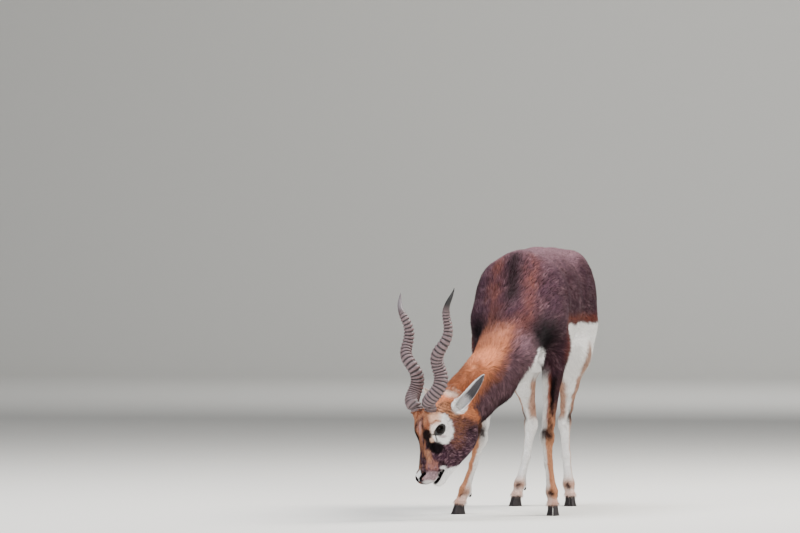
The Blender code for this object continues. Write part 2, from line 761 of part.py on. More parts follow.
def make_horn(name, side, look):
    """A ringed horn: a round section carried along a spiral that tightens to a smooth tip."""
    base, rise, forward, outward, length = horn_line(side)
    start_turn = math.radians(-83.0 if side > 0 else -31.0)
    sides, per_ring = 12, 3
    ringed = 0.845
    levels = list(np.linspace(0.0, ringed, HORN_RINGS * per_ring + 1))
    levels += list(np.linspace(ringed, 1.0, 8))[1:]
    levels = np.array(levels) ** 1.12
    turn = start_turn + 2 * math.pi * levels * length / HORN_PITCH
    swing = 0.0132 * (1.0 - 0.60 * levels)
    grow = np.clip(levels / 0.06, 0.35, 1.0)
    line = (
        base
        + GAP * rise
        + np.outer(levels * length, rise)
        + np.outer(swing * grow * np.cos(turn), forward)
        + np.outer(swing * grow * np.sin(turn), outward)
    )
    # Each section stands square to the spiral, and the lowest one square to its seat
    lean = np.gradient(line, axis=0)
    lean /= np.linalg.norm(lean, axis=1)[:, None]
    part = np.clip(levels / HORN_FOOT, 0.0, 1.0)[:, None]
    lean = rise * (1.0 - part) + lean * part
    lean /= np.linalg.norm(lean, axis=1)[:, None]
    ahead = forward - lean * (lean @ forward)[:, None]
    ahead /= np.linalg.norm(ahead, axis=1)[:, None]
    beside = np.cross(lean, ahead)
    beside *= np.sign(beside @ outward)[:, None]
    count = len(levels)
    ring_phase = np.arange(count) % per_ring
    taper = HORN_RADIUS * (1.0 - 0.36 * levels - 0.10 * levels**4)
    taper = np.where(levels > ringed, taper * (1 - (levels - ringed) / (1 - ringed) * 0.93), taper)
    ridge = np.where(ring_phase == 1, 1.10, 0.945)
    ridge = np.where(levels > ringed, 1.0, ridge)
    points = []
    for row in range(count):
        for step in range(sides):
            angle = 2 * math.pi * step / sides
            arm = ahead[row] * math.cos(angle) + beside[row] * math.sin(angle)
            points.append(tuple(line[row] + arm * taper[row] * ridge[row]))
    faces = [tuple(range(sides))]
    for row in range(count - 1):
        for step in range(sides):
            after = (step + 1) % sides
            low, high = row * sides, (row + 1) * sides
            faces.append((low + step, high + step, high + after))
            faces.append((low + step, high + after, low + after))
    faces.append(tuple(range((count - 1) * sides, count * sides)))
    thing = mesh_object(name, points, faces, look)
    work = bmesh.new()
    work.from_mesh(thing.data)
    bmesh.ops.triangulate(work, faces=work.faces)
    bmesh.ops.recalc_face_normals(work, faces=work.faces)
    work.to_mesh(thing.data)
    work.free()
    return smooth(thing)


def ear_line(side):
    """An ear's root, the way it points, the way its cup faces and its width's direction."""
    reach = (-0.047, 0.050, 0.089) if side > 0 else (-0.030, 0.088, 0.045)
    facing = (0.62, 0.62, 0.10) if side > 0 else (0.80, 0.35, 0.15)
    mirror = np.array([1.0, side, 1.0])
    root = from_head([np.array((-0.0845, 0.0480, 0.0535)) * mirror])[0]
    way = unit((np.array(reach) * mirror) @ head_axes())
    cup = (np.array(facing) * mirror) @ head_axes()
    cup = unit(cup - way * (cup @ way))
    return root, way, cup, np.cross(way, cup)


def make_ear(name, side, look):
    """A leaf-shaped cup of gristle on a round root."""
    root, way, cup, across = ear_line(side)
    rows, columns = 14, 13
    wall = EAR_WALL
    inner, outer = [], []
    for row in range(rows):
        share = row / (rows - 1)
        along = 0.010 + share * EAR_LENGTH
        half = EAR_WIDTH / 2 * max(0.10, math.sin(math.pi * (0.14 + 0.84 * share)) ** 0.75)
        curl = math.radians(112.0 - 62.0 * share)
        radius = half / math.sin(min(curl, math.pi / 2))
        thick = wall * (1.0 - 0.35 * share)
        bow = 0.010 * math.sin(math.pi * share)
        for column in range(columns):
            angle = curl * (2.0 * column / (columns - 1) - 1.0)
            sideways = math.sin(angle)
            depth = 1.0 - math.cos(angle)
            spot = root + way * along - cup * (bow + 0.010 * (1 - share))
            inner.append(spot + across * radius * sideways + cup * radius * depth)
            outer.append(
                spot + across * (radius + thick) * sideways + cup * ((radius + thick) * depth - thick)
            )
    points = inner + outer
    faces = []
    shift = rows * columns
    for row in range(rows - 1):
        for column in range(columns - 1):
            first = row * columns + column
            quad = (first, first + 1, first + columns + 1, first + columns)
            faces.append(quad)
            faces.append(tuple(shift + index for index in quad[::-1]))
    rim = [column for column in range(columns)]
    rim += [row * columns + columns - 1 for row in range(1, rows)]
    rim += [(rows - 1) * columns + column for column in range(columns - 2, -1, -1)]
    rim += [row * columns for row in range(rows - 2, 0, -1)]
    for first, second in zip(rim, rim[1:] + rim[:1]):
        faces.append((second, first, shift + first, shift + second))
    thing = mesh_object(name, points, faces, look)
    plug_points, plug_faces = drum(root - way * 0.004, way, EAR_ROOT_RADIUS, 0.0165, 20, 0.72)
    plug = mesh_object("plug", plug_points, plug_faces, look)
    change = thing.modifiers.new("join", "BOOLEAN")
    change.operation = "UNION"
    change.solver = "EXACT"
    change.object = plug
    applied(thing)
    bpy.data.objects.remove(plug, do_unlink=True)
    cut_flat(thing, root + way * GAP, -way)
    work = bmesh.new()
    work.from_mesh(thing.data)
    bmesh.ops.triangulate(work, faces=work.faces)
    bmesh.ops.recalc_face_normals(work, faces=work.faces)
    work.to_mesh(thing.data)
    work.free()
    return smooth(largest_only(thing))


def make_eye(name, side, look):
    """An eyeball."""
    centre = from_head([(EYE_PLACE[0], side * EYE_PLACE[1], EYE_PLACE[2])])[0]
    points, faces = globe(centre, EYE_RADIUS - GAP * 0.5, 10, 16)
    return smooth(mesh_object(name, points, faces, look))


def stand_on_middle():
    """Moves every piece alike, so that the origin lies on the floor below the middle of the animal."""
    pieces = [thing for thing in bpy.data.objects if thing.type == "MESH"]
    spots = np.array([tuple(vertex.co) for thing in pieces for vertex in thing.data.vertices])
    middle = (spots.min(0) + spots.max(0)) / 2
    move = Matrix.Translation((-middle[0], -middle[1], 0.0))
    for thing in pieces:
        thing.data.transform(move)
    return middle


def build():
    """Makes every piece of the animal."""
    clear_scene()
    coat = material("coat_brown", (0.115, 0.062, 0.050), 0.85)
    nape = material("coat_rufous", (0.330, 0.150, 0.075), 0.85)
    pale = material("coat_white", (0.780, 0.740, 0.700), 0.85)
    keratin = material("horn_grey", (0.150, 0.120, 0.110), 0.55)
    black = material("hoof_black", (0.035, 0.030, 0.030), 0.45)
    glass = material("eye_dark", (0.012, 0.009, 0.008), 0.08)
    make_torso(coat)
    make_neck(nape)
    make_head(coat)
    make_tail(coat)
    legs = {
        "fore_left": ("fore", FORE_LEFT),
        "fore_right": ("fore", FORE_RIGHT),
        "hind_left": ("hind", HIND_LEFT),
        "hind_right": ("hind", HIND_RIGHT),
    }
    for place, (kind, leg) in legs.items():
        make_leg(f"leg_{place}", kind, leg, pale)
        for claw, side in (("left", 1.0), ("right", -1.0)):
            make_hoof(f"hoof_{place}_{claw}", leg, TOE_TURN[place], side, black)
    for word, side in (("left", 1.0), ("right", -1.0)):
        make_horn(f"horn_{word}", side, keratin)
        make_ear(f"ear_{word}", side, pale)
        make_eye(f"eye_{word}", side, glass)
    stand_on_middle()


build()
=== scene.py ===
import math

import bmesh
import bpy
import numpy as np
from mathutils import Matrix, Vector


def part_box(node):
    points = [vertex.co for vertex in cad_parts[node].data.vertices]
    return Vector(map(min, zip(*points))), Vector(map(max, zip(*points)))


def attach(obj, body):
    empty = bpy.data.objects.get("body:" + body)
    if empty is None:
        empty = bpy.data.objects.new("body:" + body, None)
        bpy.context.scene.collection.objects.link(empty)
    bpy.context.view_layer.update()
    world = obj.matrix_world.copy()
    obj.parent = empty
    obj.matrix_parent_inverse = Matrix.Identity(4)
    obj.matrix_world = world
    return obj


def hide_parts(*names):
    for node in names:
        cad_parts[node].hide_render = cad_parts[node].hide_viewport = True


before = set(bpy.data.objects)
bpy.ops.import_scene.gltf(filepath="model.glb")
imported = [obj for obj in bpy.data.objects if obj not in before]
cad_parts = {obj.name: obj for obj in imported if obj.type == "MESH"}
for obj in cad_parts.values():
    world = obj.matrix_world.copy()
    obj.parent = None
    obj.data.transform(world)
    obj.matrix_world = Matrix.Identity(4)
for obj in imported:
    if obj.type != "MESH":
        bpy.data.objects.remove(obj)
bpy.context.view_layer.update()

# Hide. One skin over trunk, neck, head, tail and legs, with no seam where the solids part. It lies
# inside the solids by the depth of the coat. The head is drawn finer and settled onto rounded forms,
# and the hide then sinks at nostrils, mouth and tear glands, creases before the ears and wraps the eyes.
FLESH = ("torso", "neck", "head", "tail")
FLESH += ("leg_fore_left", "leg_fore_right", "leg_hind_left", "leg_hind_right")
SIDES = {"left": 1.0, "right": -1.0}
HIDE_CELL = 0.0052
HEAD_TURN = math.radians(43.0)
FACE_WAY = (-math.sin(HEAD_TURN), -math.cos(HEAD_TURN), 0.0)
LEFT_WAY = (math.cos(HEAD_TURN), -math.sin(HEAD_TURN), 0.0)
HEAD_AXES = np.array([FACE_WAY, LEFT_WAY, (0.0, 0.0, 1.0)])
EYE_CENTRES = {name: np.mean(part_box(f"eye_{name}"), axis=0) for name in SIDES}
EYE_RADIUS = float(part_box("eye_left")[1][2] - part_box("eye_left")[0][2]) / 2
BROW_FROM_EYES = np.array([0.0280, 0.0, -0.0005])
HEAD_FROM_BODY = np.array([-0.2127, -0.600, 0.240])
HEAD_PLACE = (EYE_CENTRES["left"] + EYE_CENTRES["right"]) / 2 + BROW_FROM_EYES @ HEAD_AXES
BODY_PLACE = HEAD_PLACE - HEAD_FROM_BODY
FACE_DEPTH = 0.0012
TRUNK_DEPTH = 0.0024
LEG_DEPTH = 0.0016
HOOF_TOP = 0.03


def unit(vector):
    """The vector at length one."""
    vector = np.asarray(vector, float)
    return vector / np.linalg.norm(vector)


def to_head(points):
    """Places in the head's own frame: forward out of the face, to the animal's left, and up."""
    return (points - HEAD_PLACE) @ HEAD_AXES.T


def to_body(points):
    """Places measured from the floor below the middle of the trunk."""
    return points - BODY_PLACE


def step(value, low, high):
    """Smooth step: 0 below the low value, 1 above the high one, an even S between."""
    share = np.clip((value - low) / (high - low), 0.0, 1.0)
    return share * share * (3.0 - 2.0 * share)


def blend(first, second, width):
    """Two rounded forms as one: the lower distance, rounded where both are within a width."""
    mix = np.clip(0.5 + 0.5 * (second - first) / width, 0.0, 1.0)
    return second + (first - second) * mix - width * mix * (1.0 - mix)


def limb(points, start, end, start_radius, end_radius):
    """Tapered limb: distance to a line, less a radius that runs evenly from end to end."""
    start, end = np.asarray(start, float), np.asarray(end, float)
    along = end - start
    share = np.clip((points - start) @ along / (along @ along), 0.0, 1.0)
    away = np.linalg.norm(points - start - share[:, None] * along, axis=1)
    return away - (start_radius + (end_radius - start_radius) * share)


def mass(points, centre, radii):
    """Egg: the scaled distance from a centre, corrected to metres near its surface."""
    offset = points - np.asarray(centre, float)
    radii = np.asarray(radii, float)
    inner = np.linalg.norm(offset / radii, axis=1)
    return inner * (inner - 1.0) / (np.linalg.norm(offset / radii**2, axis=1) + 1e-9)


def fold(local):
    """The right half of the head turned onto the left."""
    return np.stack([local[:, 0], np.abs(local[:, 1]), local[:, 2]], -1)


EAR_ROOT = (-0.0845, 0.0480, 0.0535)
EAR_REACH = {1.0: (-0.047, 0.050, 0.089), -1.0: (-0.030, 0.088, 0.045)}
EAR_FACING = {1.0: (0.62, 0.62, 0.10), -1.0: (0.90, -0.30, 0.15)}


def ear_line(side):
    """An ear's root, the way it points and the way its cup faces, square to it."""
    mirror = np.array([1.0, side, 1.0])
    root = np.array(EAR_ROOT) * mirror @ HEAD_AXES + HEAD_PLACE
    way = unit(np.array(EAR_REACH[side]) * mirror @ HEAD_AXES)
    cup = np.array(EAR_FACING[side]) * mirror @ HEAD_AXES
    return root, way, unit(cup - way * (cup @ way))


# Each form of the head: its places and radii, and last how softly it runs into those before it
BRAIN_CASE = ((-0.060, 0.0, 0.014), (0.061, 0.043, 0.051))
HEAD_FORMS = (
    (limb, (-0.086, 0.0, 0.052), (-0.122, 0.0, 0.050), 0.034, 0.046, 0.02),  # poll
    (limb, (-0.020, 0.022, 0.020), (-0.012, 0.0300, 0.050), 0.020, 0.0195, 0.010),  # horn foot
    (mass, (-0.020, 0.016, 0.006), (0.027, 0.021, 0.032), 0.010),  # forehead
    (mass, (-0.032, 0.034, 0.004), (0.024, 0.0205, 0.0215), 0.010),  # eye socket
    (limb, (-0.036, 0.0, -0.010), (-0.030, 0.0, -0.085), 0.038, 0.0265, 0.02),  # nose
    (limb, (-0.070, 0.014, -0.020), (-0.044, 0.008, -0.095), 0.030, 0.020, 0.015),  # side of the nose
    (limb, (-0.026, 0.0, -0.080), (-0.012, 0.0, -0.122), 0.0235, 0.0215, 0.012),  # muzzle
    (mass, (-0.008, 0.009, -0.128), (0.018, 0.0135, 0.018), 0.008),  # wing of the nostril
    (mass, (-0.026, 0.010, -0.126), (0.021, 0.014, 0.016), 0.008),  # upper lip
    (mass, (-0.016, 0.0, -0.128), (0.021, 0.014, 0.0175), 0.008),  # middle of the lip
    (mass, (-0.112, 0.020, -0.012), (0.056, 0.026, 0.062), 0.018),  # cheek
    (mass, (-0.085, 0.022, -0.045), (0.048, 0.022, 0.050), 0.018),  # front of the cheek
    (mass, (-0.104, 0.0, -0.020), (0.056, 0.030, 0.062), 0.018),  # between the cheeks
)
JAW = ((-0.118, 0.012, -0.050), (-0.066, 0.004, -0.128), 0.028, 0.0150)
CHIN = ((-0.0555, 0.0, -0.1385), (0.0170, 0.0155, 0.0150))
NECK = (
    ((-0.026, -0.362, 0.432), 0.074),
    ((-0.062, -0.432, 0.368), 0.066),
    ((-0.106, -0.482, 0.318), 0.062),
    ((-0.146, -0.512, 0.294), 0.050),
)


def face_form(points):
    """Distance to the head: skull, brow, cheeks, muzzle, jaw and ear roots, blended into the neck."""
    local = fold(to_head(points))
    form = mass(local, *BRAIN_CASE)
    for maker, *sizes, soft in HEAD_FORMS:
        form = blend(form, maker(local, *sizes), soft)
    jaw = blend(limb(local, *JAW), mass(local, *CHIN), 0.010)
    form = blend(form, jaw, 0.004)
    body = to_body(points)
    neck = None
    for (start, start_radius), (end, end_radius) in zip(NECK, NECK[1:]):
        length = limb(body, start, end, start_radius, end_radius)
        neck = length if neck is None else blend(neck, length, 0.03)
    form = blend(form, neck, 0.02)
    for side in SIDES.values():
        root, way, _ = ear_line(side)
        form = blend(form, limb(points, root - way * 0.018, root + way * 0.010, 0.017, 0.0150), 0.010)
    return form


def head_share(points):
    """How far a place belongs to the head: 1 in front of the cut behind the jaw, 0 on the neck."""
    local = to_head(points)
    ahead = (local[:, 0] + 0.150) * 0.77 - (local[:, 2] - 0.046) * 0.64
    return step(ahead, -0.004, 0.012) * (to_body(points)[:, 1] < -0.40)


def leg_share(points):
    """How far a place belongs to a leg: 1 below the cuts of the legs, 0 on the trunk."""
    _, y, z = to_body(points).T
    fore = step(y, -0.322, -0.300) * (1.0 - step(y, -0.14, -0.12))
    return (1.0 - step(z, 0.355, 0.405)) * np.maximum(fore, step(y, 0.09, 0.12))


def mesh_arrays(mesh):
    """The points of a mesh and the pairs of points that its edges join."""
    places = np.empty(len(mesh.vertices) * 3, np.float32)
    mesh.vertices.foreach_get("co", places)
    pairs = np.empty(len(mesh.edges) * 2, np.int32)
    mesh.edges.foreach_get("vertices", pairs)
    return places.reshape(-1, 3).astype(float), pairs.reshape(-1, 2)


PULL, PUSH_BACK = 0.55, -0.57
NUDGE = 1e-4
LONGEST_MOVE = 0.003


def relax(places, pairs, rounds, share):
    """Evens a surface: each point goes towards the mean of its neighbours, then a little back."""
    count = np.bincount(pairs.ravel(), minlength=len(places))[:, None]
    for turn in range(rounds * 2):
        total = np.zeros_like(places)
        for axis in range(3):
            total[:, axis] = np.bincount(pairs[:, 0], places[pairs[:, 1], axis], len(places))
            total[:, axis] += np.bincount(pairs[:, 1], places[pairs[:, 0], axis], len(places))
        pull = PULL if turn % 2 == 0 else PUSH_BACK
        places = places + pull * share[:, None] * (total / count - places)
    return places


def settle(places, share, rounds):
    """Moves points along the slope of the head's form until they lie on it."""
    near = np.nonzero(share > 0)[0]
    for _ in range(rounds):
        here = places[near]
        rises = [face_form(here + NUDGE * axis) - face_form(here - NUDGE * axis) for axis in np.eye(3)]
        slope = np.stack(rises, -1) / (2 * NUDGE)
        size = np.maximum((slope**2).sum(1), 0.25)
        move = np.clip(face_form(here) / size, -LONGEST_MOVE, LONGEST_MOVE) * share[near]
        places[near] = here - slope * move[:, None]
    return places


def normals_of(mesh):
    """The surface's direction at each point."""
    normals = np.empty(len(mesh.vertices) * 3, np.float32)
    mesh.vertex_normals.foreach_get("vector", normals)
    return normals.reshape(-1, 3).astype(float)


def set_points(mesh, places):
    """Moves a mesh's points to new places."""
    mesh.vertices.foreach_set("co", np.ascontiguousarray(places, np.float32).ravel())
    mesh.update()


def eye_frame(name):
    """An eye's own directions: along the slit towards the inner corner, across it, and outwards."""
    side = SIDES[name]
    out = unit(np.array([0.14, side, -0.02]) @ HEAD_AXES)
    slit = np.array([0.79, 0.0, -0.61]) @ HEAD_AXES
    slit = unit(slit - out * (slit @ out))
    return np.array([slit, np.cross(out, slit) * side, out])


def eye_almond(offset):
    """The slit between the lids: below 1 inside, a teardrop longer towards the outer corner."""
    along, across = offset[:, 0], offset[:, 1]
    reach = np.where(along > 0, 0.0158, 0.0162)
    height = np.where(across > 0, 0.0128, 0.0112)
    return (np.abs(along) / reach) ** 1.55 + (np.abs(across) / height) ** 2.0


work = bmesh.new()
for node in (*FLESH, "eye_left", "eye_right"):
    work.from_mesh(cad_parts[node].data)
hide_mesh = bpy.data.meshes.new("hide")
work.to_mesh(hide_mesh)
work.free()
hide = bpy.data.objects.new("hide", hide_mesh)
bpy.context.scene.collection.objects.link(hide)
even = hide.modifiers.new("even", "REMESH")
even.mode = "VOXEL"
even.voxel_size = HIDE_CELL
graph = bpy.context.evaluated_depsgraph_get()
hide.data = bpy.data.meshes.new_from_object(hide.evaluated_get(graph))
hide.modifiers.clear()

# Only the outer skin is kept, and the smaller closed skins that lie within it go
work = bmesh.new()
work.from_mesh(hide.data)
left_over = set(work.verts)
skins = []
while left_over:
    stack = [left_over.pop()]
    skin = list(stack)
    while stack:
        for edge in stack.pop().link_edges:
            for end in edge.verts:
                if end in left_over:
                    left_over.discard(end)
                    skin.append(end)
                    stack.append(end)
    skins.append(skin)
skins.sort(key=len)
bmesh.ops.delete(work, geom=[vertex for skin in skins[:-1] for vertex in skin], context="VERTS")

# The head's faces are cut finer, and those of the eyes and the muzzle once more
EYE_REACH = 0.031
MUZZLE_TOP = -0.096
for finest in (False, True):
    work.edges.ensure_lookup_table()
    middles = np.array([(edge.verts[0].co + edge.verts[1].co) / 2 for edge in work.edges])
    chosen = head_share(middles) > 0.3
    if finest:
        chosen = (to_head(middles)[:, 2] < MUZZLE_TOP) & (head_share(middles) > 0.5)
        for centre in EYE_CENTRES.values():
            chosen |= np.linalg.norm(middles - centre, axis=1) < EYE_REACH
    edges = [work.edges[i] for i in np.nonzero(chosen)[0]]
    bmesh.ops.subdivide_edges(work, edges=edges, cuts=1, use_grid_fill=True)
bmesh.ops.triangulate(work, faces=[face for face in work.faces if len(face.verts) > 4])
work.to_mesh(hide.data)
work.free()

places, pairs = mesh_arrays(hide.data)
on_head = head_share(places)
places = relax(places, pairs, 8, 1.0 - 0.55 * on_head)
places = settle(places, on_head, 6)
places = relax(places, pairs, 2, 0.7 * on_head)
places = settle(places, on_head, 3)
set_points(hide.data, places)
normals = normals_of(hide.data)
local = fold(to_head(places))
depth = TRUNK_DEPTH * (1.0 - leg_share(places)) + LEG_DEPTH * leg_share(places)
depth = depth * (1.0 - on_head) + FACE_DEPTH * on_head
depth = np.minimum(depth, 0.0012 + 0.05 * np.clip(to_body(places)[:, 2] - HOOF_TOP, 0, None))


def dent(local, start, end, width, power=2.0):
    """How deep a groove along a line is: 1 on the line, fading to 0 at a width from it."""
    away = limb(local, start, end, 0.0, 0.0)
    return np.clip(1.0 - (away / width) ** power, 0.0, 1.0)


def face_point(spot):
    """A place in the head's frame, moved onto the head's surface."""
    there = np.array([spot], float) @ HEAD_AXES + HEAD_PLACE
    return to_head(settle(there, np.ones(1), 12))[0]


MOUTH_CORNER = (-0.0618, 0.0, -0.1089)
MOUTH_END = (-0.0330, 0.0, -0.1495)
NOSTRIL = (face_point((-0.0005, 0.0130, -0.1190)), face_point((0.0060, 0.0065, -0.1320)))
PHILTRUM = ((0.012, 0.0, -0.128), (-0.010, 0.0, -0.150))
TEAR_GLAND = ((-0.0200, 0.0290, -0.0370), (-0.0235, 0.0315, -0.0530))
BROW = ((-0.010, 0.038, 0.026), (-0.050, 0.046, 0.022))
EAR_FOLDS = ((-0.060, 0.036, 0.058), (0.030, 0.030, 0.024))
FOLD_SPACING = 0.0070


def mouth_gap(local, margin=0.0):
    """Distance into the mouth's opening, a wedge from its corner to the lips: above 0 inside."""
    flat = local * np.array([1.0, 0.0, 1.0])
    return -limb(flat, MOUTH_CORNER, MOUTH_END, 0.0016 + margin, 0.0080 + margin)


nostril_pit = dent(local, *NOSTRIL, 0.0048)
nostril_wing = dent(local, *NOSTRIL, 0.0095) * (nostril_pit < 0.02)
tear_pit = dent(local, *TEAR_GLAND, 0.0085)
tear_rim = dent(local, *TEAR_GLAND, 0.0150) * (1.0 - tear_pit)
fold_wave = np.sin((local[:, 0] * 0.35 - local[:, 2] * 0.93) / FOLD_SPACING * 2 * math.pi)
depth += on_head * 0.0100 * step(mouth_gap(local), -0.0012, 0.0022)
depth += on_head * 0.0080 * nostril_pit
depth -= on_head * 0.0016 * nostril_wing
depth += on_head * 0.0014 * dent(local, *PHILTRUM, 0.0020)
depth += on_head * 0.0040 * tear_pit
depth -= on_head * 0.0012 * tear_rim
depth -= on_head * 0.0009 * fold_wave * (1.0 - step(mass(local, *EAR_FOLDS), -0.010, 0.002))
depth -= on_head * 0.0014 * dent(local, *BROW, 0.0050)
nostril_edge = step(dent(local, *NOSTRIL, 0.0058, 4.0), 0.15, 0.55)
# Inside the mouth's opening and the nostrils the hide is painted black, as painted shade
open_skin = on_head * np.maximum(step(mouth_gap(local), -0.0012, 0.0008), nostril_edge)
places = places - normals * depth[:, None]

# Lids: the hide follows the ball inside the slit, and stands over it as a rim with a pouch below
LID_REACH = 1.75
BALL_SINK = 0.0035
LID_GAP = 0.0007
LID_THICKNESS = 0.0019
for name in SIDES:
    offset = (places - EYE_CENTRES[name]) @ eye_frame(name).T
    away = np.linalg.norm(offset, axis=1)
    near = (away < EYE_RADIUS * LID_REACH) & (offset[:, 2] > 0.10 * EYE_RADIUS)
    almond = eye_almond(offset)
    inside = near & (almond < 1.0)
    lid = near & (almond >= 1.0)
    target = away.copy()
    sunk = EYE_RADIUS - BALL_SINK * (1.0 - step(almond[inside], 0.62, 1.0))
    corner = step(offset[inside, 0], 0.0100, 0.0140)
    target[inside] = sunk * (1.0 - corner) + np.minimum(away[inside], EYE_RADIUS + 0.0015) * corner
    far = step(almond[lid], 1.5, 3.2)
    rim = LID_THICKNESS * step(almond[lid], 0.98, 1.25) * (1.0 + 0.4 * (offset[lid, 1] > 0))
    pouch = 0.0012 * np.exp(-(((almond[lid] - 1.9) / 0.35) ** 2)) * (offset[lid, 1] < 0)
    target[lid] = away[lid] * far + (EYE_RADIUS + LID_GAP + rim + pouch) * (1.0 - far)
    places = places + ((target / away - 1.0)[:, None] * offset) @ eye_frame(name)
set_points(hide.data, places)
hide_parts(*FLESH)
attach(hide, "root")

# Markings. A rutting male is dark purple brown above and down the sides with a rufous nape, and white
# on the belly, the inner legs, the chin and round the eyes. One function of place and facing gives
# the colour to the hide and to every tuft that grows on it.


def rgb(red, green, blue):
    """A colour given as screen values from 0 to 255, as linear light."""
    shares = np.array([red, green, blue]) / 255.0
    return np.where(shares <= 0.04045, shares / 12.92, ((shares + 0.055) / 1.055) ** 2.4)


WHITE = rgb(238, 236, 234)
CREAM = rgb(236, 212, 196)
DARK = rgb(30, 16, 20)
UMBER = rgb(52, 28, 31)
PLUM = rgb(68, 45, 58)
# Pale hair tips, and also a painted sheen on the top of the back
PALE_TIPS_AND_SHEEN = rgb(152, 118, 126)
RUFOUS = rgb(204, 129, 90)
RIDGE = rgb(108, 62, 52)
GINGER = rgb(146, 96, 70)
RUST = rgb(112, 54, 36)
TAN = rgb(194, 136, 102)
BLACK = rgb(7, 4, 6)
MAUVE = rgb(164, 138, 142)
PINK = rgb(164, 112, 100)
MIDLINE_X = -0.018
MIDLINE = ((-0.52, -0.43, -0.36, -0.275, -0.175), (-0.146, -0.062, -0.020, -0.024, -0.020))
NAPE_FROM = np.array([-0.006, -0.175, 0.590])
NAPE_WAY = np.array([-0.298, -0.717, -0.630])
NAPE_UP = np.array([-0.242, -0.582, 0.777])
NAPE_LEFT = np.array([0.924, -0.384, 0.0])
NAPE_EDGE = ((0.10, 0.20, 0.30, 0.45), (18.0, 28.0, 36.0, 50.0))
ARMPIT = (np.array([0.072, -0.315, 0.480]), np.array([0.050, 0.060, 0.042]))
FLANK_LINE = 0.517
CHEST_LINE = 0.447
HIND_LEG_BACK = ((0.062, 0.139, 0.228, 0.270, 0.338, 0.430), (0.291, 0.312, 0.326, 0.291, 0.228, 0.160))
KNEE = 0.221
HOCK = 0.254
FETLOCK = 0.060


def over(ground, *layers):
    """Paint laid on in turn: each layer hides what is under it by its weight, from 0 to 1."""
    for layer, weight in layers:
        ground = ground * (1.0 - weight[:, None]) + layer * weight[:, None]
    return ground


def bell(value, middle, width):
    """A soft band: 1 at its middle, 0.37 at a width from it, fading to 0."""
    return np.exp(-(((value - middle) / width) ** 2))


def mottle(points, size, seed):
    """Value noise from -1 to 1: hashed numbers on a lattice of a given size, blended smoothly."""
    spot = points / size
    base = np.floor(spot).astype(np.int64)
    part = spot - base
    part = part * part * (3.0 - 2.0 * part)
    total = np.zeros(len(points))
    for corner in np.ndindex(2, 2, 2):
        cell = base + np.array(corner)
        mixed = cell[:, 0] * 374761393 + cell[:, 1] * 668265263 + cell[:, 2] * 2147483647 + seed * 1274126177
        mixed = (mixed ^ (mixed >> 13)) * 1274126177
        mixed = (mixed ^ (mixed >> 16)) & 0xFFFF
        weight = np.prod(np.where(np.array(corner) == 1, part, 1.0 - part), axis=1)
        total += weight * (mixed / 32767.5 - 1.0)
    return total


def patch(local, centre, radii, soft=0.25):
    """A soft oval patch: 1 inside, fading to 0 past its radii."""
    away = np.linalg.norm((local - np.array(centre)) / np.array(radii), axis=1)
    return 1.0 - step(away, 1.0 - soft, 1.0 + soft)


